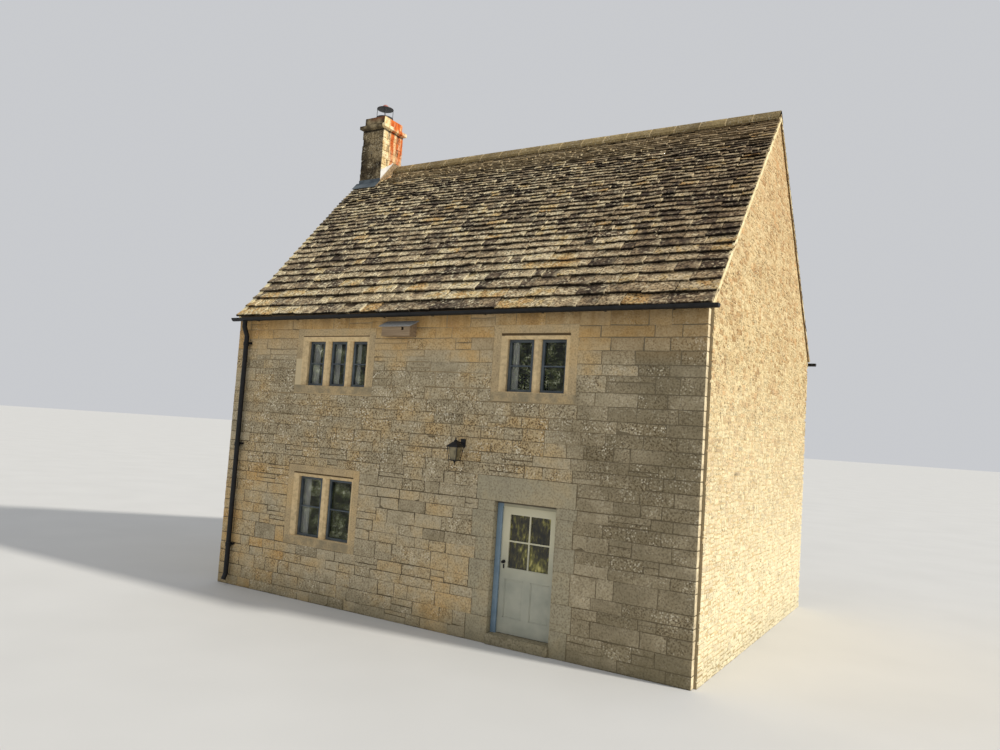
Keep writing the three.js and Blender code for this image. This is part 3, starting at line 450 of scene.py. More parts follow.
# The quoins and the stones round the doorway
# Larger squared blocks of the same stone hold the corners of the front wall and the sides of the doorway.
# One long lintel stone lies over the door, and all of them have worn, rounded arrises.
def block_lattice():
    """The outside of a 5 by 5 by 5 lattice: each point's three levels, and the quads between the points."""
    levels = np.stack(np.meshgrid(*[np.arange(5)] * 3, indexing="ij"), axis=-1).reshape(-1, 3)
    outside = ((levels == 0) | (levels == 4)).any(axis=1)
    number = np.full(125, -1)
    number[outside] = np.arange(outside.sum())
    a, b = [g.ravel() for g in np.meshgrid(np.arange(4), np.arange(4), indexing="ij")]
    faces = []
    for axis in range(3):
        u, v = (axis + 1) % 3, (axis + 2) % 3
        for side in (0, 4):
            ring = [(0, 0), (1, 0), (1, 1), (0, 1)] if side else [(0, 0), (0, 1), (1, 1), (1, 0)]
            corner = np.zeros((4, len(a), 3), int)
            corner[..., axis] = side
            for place, (du, dv) in enumerate(ring):
                corner[place, :, u] = a + du
                corner[place, :, v] = b + dv
            faces.append(number[corner @ np.array([25, 5, 1])].T)
    return levels[outside], np.concatenate(faces)


def rounded_blocks(lows, highs, radius, rough, rng):
    """Blocks between low and high corners. Each point is its place on a box held in by the radius, plus the
    radius along the unit line that leads out of that box, so edges and corners are round; then roughened."""
    levels, quads = block_lattice()
    share = np.array([0.0, 0.0, 0.5, 1.0, 1.0])[levels]
    leads = np.array([-1.0, 0.0, 0.0, 0.0, 1.0])[levels]
    leads = leads / np.linalg.norm(leads, axis=1, keepdims=True)
    lows, highs = np.array(lows, float)[:, None], np.array(highs, float)[:, None]
    points = lows + radius + (highs - lows - 2 * radius) * share[None] + leads[None] * radius
    points = points + rng.normal(0.0, rough, points.shape)
    start = (np.arange(len(lows)) * len(levels))[:, None, None]
    return points.reshape(-1, 3), [(quads[None] + start).reshape(-1, 4)]


def block_piece(name, boxes, radius, rough, finish, tint, worn, rng):
    """One piece of many blocks, each with a tint of its own round the usual one."""
    lows, highs = [box[0] for box in boxes], [box[1] for box in boxes]
    points, faces = rounded_blocks(lows, highs, radius, rough, rng)
    points[:, 2] = np.maximum(points[:, 2], 0.0)
    marks = {"tint": tint + rng.normal(0.0, 0.05, len(boxes)),
             "worn": ramp(rng.normal(worn, 0.2, len(boxes)), 0, 1)}
    return surface(name, points, faces, finish, marks)


PROUD = 0.005
HALF_JOINT, FINE_JOINT = 0.005, 0.0008
LAP = 0.004
GABLE_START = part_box("gable_wall_right")[0].y
REVEAL_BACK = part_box("door_frame")[0].y - LAP
boxes = []
for course, (x0, z0, x1, z1) in enumerate(left_quoins):
    deep = SHALLOW_QUOIN if course % 2 == 0 else DEEP_QUOIN
    boxes.append(((x0 - PROUD, FRONT_Y - PROUD, z0 + HALF_JOINT),
                  (x1 - HALF_JOINT, FRONT_Y + deep, z1 - HALF_JOINT)))
for x0, z0, x1, z1 in right_quoins:
    boxes.append(((x0 + HALF_JOINT, FRONT_Y - PROUD, z0 + HALF_JOINT),
                  (x1 + PROUD, GABLE_START - 0.001, z1 - HALF_JOINT)))
middle = (np.array([box[0] for box in boxes]) + np.array([box[1] for box in boxes])) / 2
quoin_tint = front_tint(middle[:, 0], middle[:, 2])
block_piece("quoins", boxes, 0.008, 0.0015, front_stone, quoin_tint, 0.35, mason)

boxes = []
for x0, z0, x1, z1 in door_jambs:
    beside_left = x0 < door_left - 0.1
    boxes.append(((x0 + HALF_JOINT if beside_left else x0 - LAP, FRONT_Y - PROUD, z0 + FINE_JOINT),
                  (x1 + LAP if beside_left else x1 - HALF_JOINT, REVEAL_BACK, z1 - FINE_JOINT)))
boxes.append(((LINTEL_LEFT + HALF_JOINT, FRONT_Y - PROUD, DOOR_HEAD + 0.0012),
              (LINTEL_RIGHT - HALF_JOINT, REVEAL_BACK, LINTEL_TOP - HALF_JOINT)))
DRESSED_SHADES = [(0.1, (156, 148, 128)), (0.45, (174, 165, 140)), (0.8, (192, 174, 138)),
                  (1.0, (196, 166, 118))]
dressed = limestone("dressed limestone", DRESSED_SHADES, 0.16, 0.35, 0.3, 0.005)
block_piece("doorway_stones", boxes, 0.007, 0.001, dressed, 0.45, 0.2, mason)
step = block_piece("door_step_stone", [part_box("door_step")], 0.012, 0.001, dressed, 0.3, 0.5,
                   mason)
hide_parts("door_step")


# The gables and the back wall
# Random rubble: small pieces of the same limestone, hardly squared, bedded in plenty of pale lime mortar
# that is brought up almost flush with them. The right-hand gable catches the sun and is the brightest face.
def rubble(low, high, widest, tallest, blocks, rng):
    """Upright rectangles of uneven size: a large one is cut in two at random, across its longer way, again
    and again until each piece is stone sized. Pieces that a block covers are cut away from it."""
    stones, waiting = [], [(low[0], low[1], high[0], high[1])]
    while waiting:
        a, c, b, d = waiting.pop()
        wide, tall = b - a, d - c
        if wide < rng.uniform(0.4, 1.0) * widest and tall < rng.uniform(0.5, 1.0) * tallest:
            stones.append((a, c, b, d))
            continue
        share = rng.uniform(0.38, 0.62)
        if wide > tall * 1.9:
            waiting += [(a, c, a + wide * share, d), (a + wide * share, c, b, d)]
        else:
            waiting += [(a, c, b, c + tall * share), (a, c + tall * share, b, d)]
    kept = []
    for a, c, b, d in stones:
        kept += lay_course(c, d, a, b, blocks, FAR, rng)
    return kept


def under_rake(corners, peak, across, slope):
    """Holds corners below a gable's two rakes, and drops stones that have no height left."""
    roof = peak - np.abs(corners[..., 0] - across) * slope
    held = corners.copy()
    held[..., 1] = np.minimum(held[..., 1], roof)
    tall = (held[:, 3, 1] - held[:, 0, 1] + held[:, 2, 1] - held[:, 1, 1]) / 2
    least = 0.035
    return held[tall > least]


def lay_rubble(name, corners, origin, across, out, tint, rng, joint=0.016):
    """Rubble on one wall: each stone's front is a small uneven pillow."""
    columns, rows = 6, 5
    flat = pillow_stones(corners, columns, rows, joint, 0.007, 0.009, 0.003, rng)
    marks = {"tint": rng.normal(tint, 0.24, len(corners)),
             "worn": ramp(rng.normal(0.75, 0.25, len(corners)), 0, 1)}
    surface(name, stand(flat, origin, across, (0, 0, 1), out), pillow_faces(len(corners), columns, rows),
            rubble_stone, marks)


RUBBLE_SHADES = [(0.0, (192, 158, 112)), (0.25, (216, 186, 138)), (0.5, (234, 212, 164)),
                 (0.75, (244, 226, 180)), (0.9, (236, 208, 158)), (1.0, (228, 190, 138))]
rubble_stone = limestone("rubble limestone", RUBBLE_SHADES, 0.16, 0.9, 0.45, 0.022)
rubble_stone.wash(rubble_stone.along("Z", 4.5, 8.6, 0.0, 0.45), (196, 152, 106))
rubble_stone.wash(rubble_stone.along("Z", 1.0, 4.6, 0.6, 0.0), (255, 246, 212))
PALE_MORTAR_SHADES = [(0.2, (196, 172, 130)), (0.5, (218, 196, 152)), (0.8, (236, 214, 168))]
pale_mortar = limestone("lime mortar, pale", PALE_MORTAR_SHADES, 0.1, 0.0, 0.0, 0.008, tint=7.0)
# Painted shade: the mortar on the step face between the front wall's end and the gable is painted grey-brown.
pale_mortar.wash(pale_mortar.along("Y", GABLE_START + 0.002, GABLE_START + 0.006, 0.9, 0.0), (142, 130, 106))
coat(pale_mortar, "gable_wall_left", "gable_wall_right", "back_wall_lower", "back_wall_upper_left",
     "back_wall_upper_right")

roof_low, roof_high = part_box("roof_front")
RIDGE_Y = roof_high.y
PITCH = math.radians(47.5)
SLOPE = math.tan(PITCH)
GABLE_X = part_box("gable_wall_right")[1].x
BACK_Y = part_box("back_wall_lower")[1].y
FAR = 9.0
GABLE_TOP = 8.9
RAKE_FOOT = 4.987
RAKE_PEAK = RAKE_FOOT + (RIDGE_Y - FRONT_Y) * SLOPE

waller = np.random.default_rng(23)
right_gable = skewed(rubble((GABLE_START, 0.0), (BACK_Y, GABLE_TOP), 0.36, 0.13, [], waller), 0.008, waller)
right_gable = under_rake(right_gable, RAKE_PEAK, RIDGE_Y, SLOPE)
lower_part = right_gable[:, :, 1].mean(axis=1) < 3.3
for part, stones in (("low", right_gable[lower_part]), ("high", right_gable[~lower_part])):
    lay_rubble("gable_right_stones_" + part, stones, (GABLE_X, 0, 0), (0, 1, 0), (1, 0, 0), 0.55, waller,
               joint=0.011)

left_gable = skewed(rubble((-BACK_Y, 0.0), (-FRONT_Y, GABLE_TOP), 0.5, 0.18, [], waller), 0.010, waller)
left_gable = under_rake(left_gable, RAKE_PEAK, -RIDGE_Y, SLOPE)
beyond_quoins = left_gable[:, :, 0].max(axis=1) < -FRONT_Y - 0.50
short_ones = np.zeros(len(left_gable), bool)
for course, (x0, z0, x1, z1) in enumerate(left_quoins):
    deep = SHALLOW_QUOIN if course % 2 == 0 else DEEP_QUOIN
    level = left_gable[:, :, 1].mean(axis=1)
    short_ones |= (level > z0) & (level < z1) & (left_gable[:, :, 0].max(axis=1) < -FRONT_Y - deep + 0.02)
above_quoins = left_gable[:, :, 1].min(axis=1) > WALL_TOP - 0.05
left_gable = left_gable[beyond_quoins | short_ones | above_quoins]
lay_rubble("gable_left_stones", left_gable, (LEFT_X, 0, 0), (0, -1, 0), (-1, 0, 0), 0.5, waller)

back_blocks = []
for place in WINDOW_PLACES:
    x0, z0, x1, z1 = opening("back_window_%s_surround" % place)
    back_blocks.append((-x1, z0, -x0, z1))
back = skewed(rubble((-CORNER_X, 0.0), (-LEFT_X, WALL_TOP), 0.5, 0.18, back_blocks, waller), 0.008, waller)
lay_rubble("back_wall_stones", back, (0, BACK_Y, 0), (-1, 0, 0), (0, 1, 0), 0.5, waller)


# The windows
# Flush stone surrounds with splayed reveals and mullions, iron-framed casements painted slate blue with one
# bar, and old uneven glass. Its soft blots are painted: reflections of the garden on every pane, and on the
# opaque back panes the dark rooms too. Through the front panes the dark rooms themselves show.
WINDOW_SHADES = [(0.2, (172, 154, 122)), (0.45, (198, 176, 138)), (0.6, (206, 180, 136)),
                 (0.9, (212, 178, 126))]
UPPER_SILL, GROUND_SILL = 3.685, 1.01
UPPER_HEAD, GROUND_HEAD = 4.618, 2.178
dressing = limestone("window limestone", WINDOW_SHADES, 0.12, 0.5, 0.5, 0.006, tint=1.6)
height, depth_in = dressing.axis("Z"), dressing.axis("Y")
sills = dressing.add(*[dressing.band(height, level, 0.065, 0.01) for level in (UPPER_SILL, GROUND_SILL)])
dressing.wash(dressing.times(sills, dressing.clouds(6.0, 4.0, 0.4, 0.6, 0.2, 0.7)), (132, 124, 102))
# Painted light: part of the left jamb of the upper left window is painted paler.
painted_light_jamb = dressing.times(dressing.band(dressing.axis("X"), -2.975, 0.08, 0.008),
                           dressing.band(height, 3.99, 0.23, 0.01), 0.8)
dressing.wash(painted_light_jamb, (214, 196, 158))
# Painted light: the splayed reveals are painted pale cream in blots.
painted_light_splays = dressing.band(depth_in, FRONT_Y + 0.05, 0.045, 0.004)
dressing.wash(dressing.times(painted_light_splays, dressing.clouds(14.0, 4.0, 0.38, 0.6, 0.35, 0.75)), (240, 214, 166))
ground_head = dressing.times(dressing.rise(height, GROUND_HEAD, GROUND_HEAD + 0.006),
                             dressing.rise(height, 2.6, 2.61, 1.0, 0.0))
heads = dressing.add(dressing.rise(height, UPPER_HEAD, UPPER_HEAD + 0.006), ground_head)
# Painted shade: a dark brown line on the splays just under each window head.
painted_shade_under_head = dressing.times(heads, dressing.band(depth_in, FRONT_Y + 0.014, 0.011, 0.002), 0.92)
dressing.wash(painted_shade_under_head, (66, 50, 30))
casement_paint = plain("slate blue paint", 0.45, 0.4, (6.0, 4.0), (58, 66, 72), (84, 94, 100),
                       (60.0, 2.0, 0.0006))


def old_glass(name, seen_through, shades):
    """Dark glass with soft blots of painted reflection, mixed from two clouds. The share seen through shows
    the room.
    """
    glass = Finish(name, roughness=0.08, specular=0.5)
    blots = glass.add(glass.times(glass.noise(7.0, 3.0), 0.4), glass.times(glass.noise(38.0, 5.0), 0.6))
    glass.colour(glass.shades(blots, shades))
    glass.relief(glass.noise(4.0, 2.0), 0.004)
    glass.shader.inputs["Alpha"].default_value = 1.0 - seen_through
    return glass


# Painted reflections of the garden, and on the back panes a painted dark room.
FRONT_REFLECTIONS = [(0.42, (6, 8, 9)), (0.50, (44, 54, 36)), (0.56, (128, 138, 86)), (0.64, (244, 246, 216))]
BACK_REFLECTIONS = [(0.42, (8, 11, 11)), (0.50, (24, 32, 24)), (0.57, (56, 66, 44)), (0.66, (112, 120, 96))]
front_glass = old_glass("old window glass", 0.70, FRONT_REFLECTIONS)
back_glass = old_glass("old window glass, back", 0.0, BACK_REFLECTIONS)
for start, glass in (("window_", front_glass), ("back_window_", back_glass)):
    for place in WINDOW_PLACES:
        coat(dressing, start + place + "_surround")
        coat(casement_paint, start + place + "_casements")
        coat(glass, start + place + "_glass")


# The curtains
# Pale linen, gathered into upright folds at the left of each light.
# Each curtain hangs from a rail behind the window head.
def ring_faces(count, across, around):
    """The faces of many like pieces at once: a closed ring of points carried across, with a face at each end.
    Point i across and j round the ring of piece k is number k * across * around + i * around + j."""
    i, j = np.meshgrid(np.arange(across - 1), np.arange(around), indexing="ij")
    i, j = i.ravel(), j.ravel()
    nxt = (j + 1) % around
    quads = np.stack([i * around + j, (i + 1) * around + j, (i + 1) * around + nxt, i * around + nxt], axis=1)
    ends = np.stack([np.arange(around), (across - 1) * around + np.arange(around)[::-1]])
    start = (np.arange(count) * across * around)[:, None, None]
    return [(quads[None] + start).reshape(-1, 4), (ends[None] + start).reshape(-1, around)]


def gathered_cloth(node, fold, depth, rng):
    """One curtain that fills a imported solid's box. Its plan is a wave: the depth at each place across is
    the sum of a sine with this fold length and a slower sine, and the folds open a little towards the foot.
    The cloth is a thin closed skin: the same wave at the front and, its thickness behind, at the back."""
    low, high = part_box(node)
    across, levels, thick = 90, 5, 0.0015
    x = np.linspace(low.x, high.x, across)
    heights = np.linspace(low.z, high.z, levels)
    turns, shift = 2 * np.pi * (x - low.x) / fold, rng.uniform(0.0, 6.0)
    wave = np.sin(turns + shift) + 0.3 * np.sin(turns * 0.37 + shift * 2)
    middle, half = (low.y + high.y) / 2, (high.y - low.y) / 2 - 0.003
    wave = wave / np.abs(wave).max() * min(depth, half)
    open_up = np.linspace(1.0, 0.7, levels)
    y = middle + wave[:, None] * open_up[None]
    ring_y = np.concatenate([y, y[:, ::-1] + thick], axis=1)
    ring_z = np.concatenate([heights, heights[::-1]])
    points = np.stack(np.broadcast_arrays(x[:, None], ring_y, ring_z), axis=2)
    piece = surface("linen_" + node, points.reshape(-1, 3), ring_faces(1, across, 2 * levels), linen,
                    sharp=60.0)
    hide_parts(node)


linen = Finish("pale linen", roughness=0.9, specular=0.1)
linen.colour(linen.mottled(9.0, 3.0, (226, 228, 226), (246, 246, 242), (1.0, 1.0, 0.2)))
linen.relief(linen.noise(400.0, 2.0), 0.0004)
draper = np.random.default_rng(5)
gathered_cloth("curtain_ground_left", 0.045, 0.014, draper)
for light in ("first", "middle", "last"):
    gathered_cloth("curtain_upper_left_" + light, 0.042, 0.014, draper)
gathered_cloth("curtain_upper_right", 0.042, 0.014, draper)


# The door
# A framed timber door in pale sage paint: four panes over two sunk panels, in a steel blue frame.
# It turns on its right-hand edge, and has a black iron knob with a keyhole plate below it.
leaf_low, leaf_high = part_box("door_leaf")
BRUSHED = (1.0, 1.0, 0.08)
door_paint = Finish("pale sage paint", roughness=0.5, specular=0.4)
door_paint.colour(door_paint.mottled(5.0, 5.0, (156, 158, 144), (174, 174, 158)))
# Painted light: the paint grows paler up the door, from 0.9 m to 1.6 m above the ground.
door_paint.wash(door_paint.along("Z", 0.9, 1.6, 0.0, 0.9), (216, 210, 180))
door_paint.relief(door_paint.noise(50.0, 3.0, BRUSHED), 0.0008)
frame_paint = Finish("steel blue paint", roughness=0.5, specular=0.4)
frame_paint.colour(frame_paint.mottled(5.0, 5.0, (108, 132, 152), (134, 156, 172)))
not_left = frame_paint.along("X", leaf_low.x + 0.02, leaf_low.x + 0.03)
frame_paint.wash(not_left, frame_paint.mottled(5.0, 5.0, (164, 160, 136), (184, 178, 150)))
# Painted shade: a dark band along the top of the door frame, under the lintel.
painted_shade_under_lintel = frame_paint.along("Z", 2.072, 2.082, 0.0, 0.85)
frame_paint.wash(painted_shade_under_lintel, (70, 58, 42))
frame_paint.relief(frame_paint.noise(50.0, 3.0, BRUSHED), 0.0008)
door_glass = Finish("door glass", roughness=0.06, specular=0.5)
# Painted reflection of a hedge: dark and yellow-green blots, stretched upright.
painted_hedge_reflection = door_glass.add(door_glass.times(door_glass.noise(2.6, 3.0), 0.5),
                       door_glass.times(door_glass.noise(24.0, 5.0, (1.0, 1.0, 0.4)), 0.5))
HEDGE_REFLECTION_SHADES = [(0.40, (16, 18, 10)), (0.49, (58, 54, 28)), (0.56, (112, 108, 50)), (0.64, (196, 186, 112))]
door_glass.colour(door_glass.shades(painted_hedge_reflection, HEDGE_REFLECTION_SHADES))
door_glass.relief(door_glass.noise(4.0, 2.0), 0.003)
iron = plain("black iron", 0.5, 0.3, (14.0, 4.0), (13, 14, 16), (28, 29, 31), (70.0, 3.0, 0.0008))
coat(door_paint, "door_leaf")
coat(frame_paint, "door_frame")
coat(door_glass, "door_glass")
coat(iron, "door_knob")

knob_low, knob_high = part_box("door_knob")
knob_x = (knob_low.x + knob_high.x) / 2
points, faces = rounded_blocks([(knob_x - 0.013, leaf_low.y - 0.003, knob_low.z - 0.075)],
                               [(knob_x + 0.013, leaf_low.y + 0.001, knob_low.z - 0.012)], 0.0015, 0.0, mason)
surface("keyhole_plate", points, faces, iron, body="door")
PANEL_X, PANEL_Z, BEAD = (0.098, 0.4085), (0.390, 0.960), 0.016
z0, z1 = PANEL_Z
lows, highs = [], []
for x0 in (leaf_low.x + PANEL_X[0], leaf_high.x - PANEL_X[1]):
    x1 = x0 + PANEL_X[1] - PANEL_X[0]
    for low_x, high_x, low_z, high_z in ((x0, x1, z0, z0 + BEAD), (x0, x1, z1 - BEAD, z1),
                                         (x0, x0 + BEAD, z0, z1), (x1 - BEAD, x1, z0, z1)):
        lows.append((low_x, leaf_low.y + 0.002, low_z))
        highs.append((high_x, leaf_low.y + 0.012, high_z))
points, faces = rounded_blocks(lows, highs, 0.004, 0.0, mason)
surface("panel_beads", points, faces, door_paint, body="door")


# The stone slates
# Thick limestone slates, split not sawn, each hung by a peg on laths. The largest lie at the eaves, and the
# courses grow narrower up to the ridge. They overhang the verges on a fillet of cream mortar.
def hog(points):
    """Raises points by the hump that the roof timbers give both slopes towards the left-hand gable. The rise
    follows the distance in from the eaves, and dies out in a straight line towards the right-hand verge."""
    inward = np.minimum(points[:, 1] - FRONT_Y, BACK_Y - points[:, 1])
    rise = np.interp(inward, [0.4, 1.5, 2.4, 2.95, 3.3], [0.0, 0.085, 0.15, 0.15, 0.0])
    return points + np.outer(rise * ramp(-points[:, 0], -VERGE_RIGHT, 7.64), [0.0, 0.0, 1.0])


def slate_shapes(slates, rng):
    """Slates on one slope, given as left, right, tail and exposure. Each is a ring in the plane up the
    slope and out of it, from the tail's top edge up to the head, down and back, carried across. The head
    dips by the slate's thickness over one exposure, so every tail rests on the course below. Tails are
    ragged, and each slate's right-hand edge rides a little above the next one."""
    left, right, tail, shown = np.array(slates).T
    count = len(left)
    share = np.array([0.0, 0.05, 0.35, 0.65, 0.95, 1.0])
    across = len(share)
    thick = (0.018 + 0.095 * shown) * rng.uniform(0.8, 1.35, count)
    dip = thick / shown
    back = np.array([0.0, 0.012, 0.5, 1.3, 1.3, 0.0, 0.0])
    x = left[:, None, None] + (right - left)[:, None, None] * share[None, :, None] + np.zeros((1, 1, 7))
    up = tail[:, None, None] + back[None, None] * shown[:, None, None]
    up[..., 1] = tail[:, None] + 0.010
    top = np.array([-0.004, 0.0, 0.0, 0.0, -1.0, -1.0, -0.6])
    out = -(up - tail[:, None, None]) * dip[:, None, None]
    out = out + np.where(top < -0.5, thick[:, None, None] * top, top)
    jag = rng.normal(0.0, 0.006, (count, across, 1)) + rng.normal(0.0, 0.009, (count, 1, 1))
    up = up + jag * np.where(back < 0.1, 1.0, 0.0)
    turn = rng.normal(0.0, 0.014, (count, 1, 1))
    up = up + turn * (x - (left + right)[:, None, None] / 2)
    uneven = rng.normal(0.0, 0.0022, (count, across, 7)) * np.where(top > -0.5, 1.0, 0.0)
    ride = np.clip(rng.normal(0.006, 0.009, (count, 1, 1)), -0.008, 0.022) * share[None, :, None]
    out = out + uneven + ride + rng.uniform(0.0, 0.005, (count, 1, 1))
    sides = rng.normal(0.0, 0.003, (count, 2, 7))
    x[:, 0] += sides[:, 0]
    x[:, -1] += sides[:, 1]
    return np.stack([x, up, out], axis=3)


def lay_slates(ends, blocks, rng):
    """Courses from the eaves to the ridge. The exposures fall quickly at first and then level off, and each
    course is shared out among slates about twice as wide as their exposure, at random."""
    shown = 0.085 + 0.195 * 0.9 ** np.arange(40)
    shown = shown * RAKE_LENGTH / shown.sum()
    tails = np.cumsum(shown) - shown
    slates = []
    for tail, exposure in zip(tails, shown):
        width = 0.10 + exposure * 1.25
        for a, c, b, d in lay_course(tail, tail + exposure, *ends, blocks, width, rng):
            slates.append((a + 0.002, b - rng.uniform(0.002, 0.014), tail, exposure))
    return slates


SLATE_SHADES = [(0.0, (84, 71, 60)), (0.15, (130, 114, 96)), (0.4, (186, 166, 136)), (0.6, (220, 200, 164)),
                (0.74, (248, 234, 200)), (0.86, (236, 212, 158)), (1.0, (226, 186, 126))]
slate = Finish("stone slates", roughness=0.9, specular=0.2)
tone = slate.add(slate.mark("tint"), slate.clouds(6.0, 5.0, 0.3, 0.7, -0.2, 0.2))
slate.colour(slate.shades(tone, SLATE_SHADES))
MOTTLE_SHADES = [(0.36, (96, 92, 84)), (0.5, (214, 208, 198)), (0.62, (255, 255, 250))]
slate.wash(1.0, slate.shades(slate.noise(30.0, 4.0), MOTTLE_SHADES), "MULTIPLY")
darker_ones = slate.rise(slate.mark("tint"), 0.2, 0.75, 1.0, 0.3)
soot = slate.times(slate.clouds(7.0, 6.0, 0.48, 0.6, 0.0, 0.85), darker_ones)
slate.wash(soot, (66, 55, 46))
lichen = slate.times(slate.clouds(19.0, 5.0, 0.55, 0.62), slate.clouds(2.5, 3.0, 0.38, 0.58, 0.15, 0.9))
slate.wash(lichen, (236, 224, 188))
# Painted highlight: the right-hand edges of some slates are painted pale cream.
slate.wash(slate.times(slate.mark("edge"), slate.clouds(9.0, 2.0, 0.4, 0.55, 0.2, 0.95)), (240, 226, 188))
# Near-black tail faces: partly soot, partly painted shade on faces that look down the slope.
slate.wash(slate.times(slate.mark("tail"), 0.96), (18, 13, 10))
near_ridge = slate.along("Z", 8.25, 8.8)
slate.wash(slate.times(near_ridge, slate.clouds(11.0, 4.0, 0.36, 0.6, 0.25, 0.8)), (176, 156, 120))
duller_end = slate.along("X", 0.5, 4.4)
slate.wash(duller_end, (222, 214, 208), "MULTIPLY")
slate.relief(slate.add(slate.noise(16.0, 5.0), slate.times(slate.noise(60.0, 3.0), 0.4)), 0.012)

VERGE_LEFT = roof_low.x
VERGE_RIGHT = roof_high.x
EAVES_Z = 5.05
RAKE_LENGTH = 5.336
LET_DOWN = 0.012
FRONT_EAVES_Y, BACK_EAVES_Y = -3.583, 3.682
stack_low, stack_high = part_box("chimney_stack")
slopes = {
    "front": ((0.0, FRONT_EAVES_Y, EAVES_Z), (1, 0, 0), (0, math.cos(PITCH), math.sin(PITCH)),
              (0, -math.sin(PITCH), math.cos(PITCH)), (VERGE_LEFT, VERGE_RIGHT)),
    "back": ((0.0, BACK_EAVES_Y, EAVES_Z), (-1, 0, 0), (0, -math.cos(PITCH), math.sin(PITCH)),
             (0, math.sin(PITCH), math.cos(PITCH)), (-VERGE_RIGHT, -VERGE_LEFT)),
}


def rake_strip(name, side, ends, run, heights, finish):
    """A strip that runs up a slope from one distance to another, between two x places and two distances out
    of the slope. Its top follows the hump of the roof, and its underside stays straight."""
    origin, across, up, out = slopes[side][:4]
    steps = 60
    along = np.linspace(*run, steps)
    a, b = sorted((across[0] * ends[0], across[0] * ends[1]))
    low, high = heights
    ring = np.array([[a, low], [b, low], [b, high], [a, high]])
    flat = np.stack([np.tile(ring[:, 0], (steps, 1)), np.repeat(along[:, None], 4, axis=1),
                     np.tile(ring[:, 1], (steps, 1))], axis=2)
    points = stand(flat, origin, across, up, out)
    points = np.where(np.tile([False, False, True, True], steps)[:, None], hog(points), points)
    surface(name, points, ring_faces(1, steps, 4), finish)


slater = np.random.default_rng(31)
laths = plain("slaters' laths", 0.85, 0.3, (20.0, 4.0), (70, 58, 44), (104, 88, 66), (60.0, 3.0, 0.002),
              (0.1, 1.0, 1.0))
VERGE_MORTAR_SHADES = [(0.2, (214, 194, 148)), (0.5, (240, 224, 178)), (0.8, (252, 240, 200))]
verge_mortar = limestone("verge mortar", VERGE_MORTAR_SHADES, 0.1, 0.0, 0.0, 0.006, tint=6.0)
# Painted shade: the undersides of the back verge's slates are a darker brown than the slates above.
painted_shade_verge_slate = plain("verge slates", 0.9, 0.2, (12.0, 4.0), (96, 72, 40), (136, 106, 62), (40.0, 4.0, 0.004))
for side, (origin, across, up, out, ends) in slopes.items():
    foot = ((stack_low.y if side == "front" else stack_high.y) - origin[1]) / up[1]
    x0, x1 = sorted((-FAR * across[0], stack_high.x * across[0]))
    slates = lay_slates(ends, [(x0, foot, x1, FAR)], slater)
    shape = slate_shapes(slates, slater)
    shape[..., 0] = np.clip(shape[..., 0], ends[0] + 0.001, ends[1] - 0.001)
    shape[..., 2] -= LET_DOWN
    count = len(slates)
    low_on_slope = ramp(-np.array(slates)[:, 2], -1.6, 1.6)
    tints = np.clip(slater.normal(0.42, 0.25, count) + 0.08 * low_on_slope, 0.02, 0.78)
    yellow_ones = slater.random(count) < 0.04 + 0.13 * low_on_slope
    tints = np.where(yellow_ones, slater.uniform(0.82, 1.0, count), tints)
    # Tail faces are painted near black: partly soot, partly painted shade.
    tail_soot_and_shade = np.array([0.7, 0.0, 0.0, 0.0, 0.0, 1.0, 1.0])
    # Painted highlight on the right-hand edge of each slate, of random strength, with less of the dark tail
    # there.
    painted_edge_light = np.outer([0.0, 0.0, 0.0, 0.0, 0.35, 1.0], [1.0, 1.0, 1.0, 1.0, 1.0, 0.7, 0.9]).ravel()
    painted_edge_light = np.outer(np.clip(slater.uniform(-0.5, 1.3, count), 0, 1), painted_edge_light).ravel()
    marks = {"tint": tints, "tail": np.tile(tail_soot_and_shade, 6 * count) * (1 - 0.9 * painted_edge_light), "edge": painted_edge_light}
    slate_piece = surface("slates_" + side, hog(stand(shape, origin, across, up, out)),
                          ring_faces(count, 6, 7), slate, marks, 30.0)
    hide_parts("roof_" + side)
    lath_run, verge_run = (0.02, RAKE_LENGTH - 0.02), (0.03, RAKE_LENGTH - 0.03)
    rake_strip("laths_" + side, side, (stack_high.x + 0.01, VERGE_RIGHT - 0.08), lath_run, (-0.110, -0.060),
               laths)
    rake_strip("laths_by_stack_" + side, side, (VERGE_LEFT + 0.08, stack_high.x + 0.01), (0.02, foot - 0.01),
               (-0.110, -0.060), laths)
    rake_strip("verge_right_" + side, side, (VERGE_RIGHT - 0.10, VERGE_RIGHT - 0.034), verge_run,
               (-0.112, -0.060), verge_mortar)
    rake_strip("verge_left_" + side, side, (VERGE_LEFT + 0.006, VERGE_LEFT + 0.10), (0.03, foot - 0.02),
               (-0.110, -0.034), verge_mortar)
rake_strip("verge_edge_front", "front", (VERGE_RIGHT - 0.036, VERGE_RIGHT - 0.005), verge_run,
           (-0.106, -0.042), verge_mortar)
rake_strip("verge_edge_back", "back", (VERGE_RIGHT - 0.010, VERGE_RIGHT - 0.003), verge_run, (-0.074, -0.040),
           verge_mortar)
for number, start in enumerate(np.arange(0.06, RAKE_LENGTH - 0.2, 0.24)):
    rake_strip("verge_slate_%d" % number, "back", (VERGE_RIGHT - 0.036, VERGE_RIGHT - 0.009),
               (start, start + 0.215), (-0.108, -0.044), painted_shade_verge_slate)


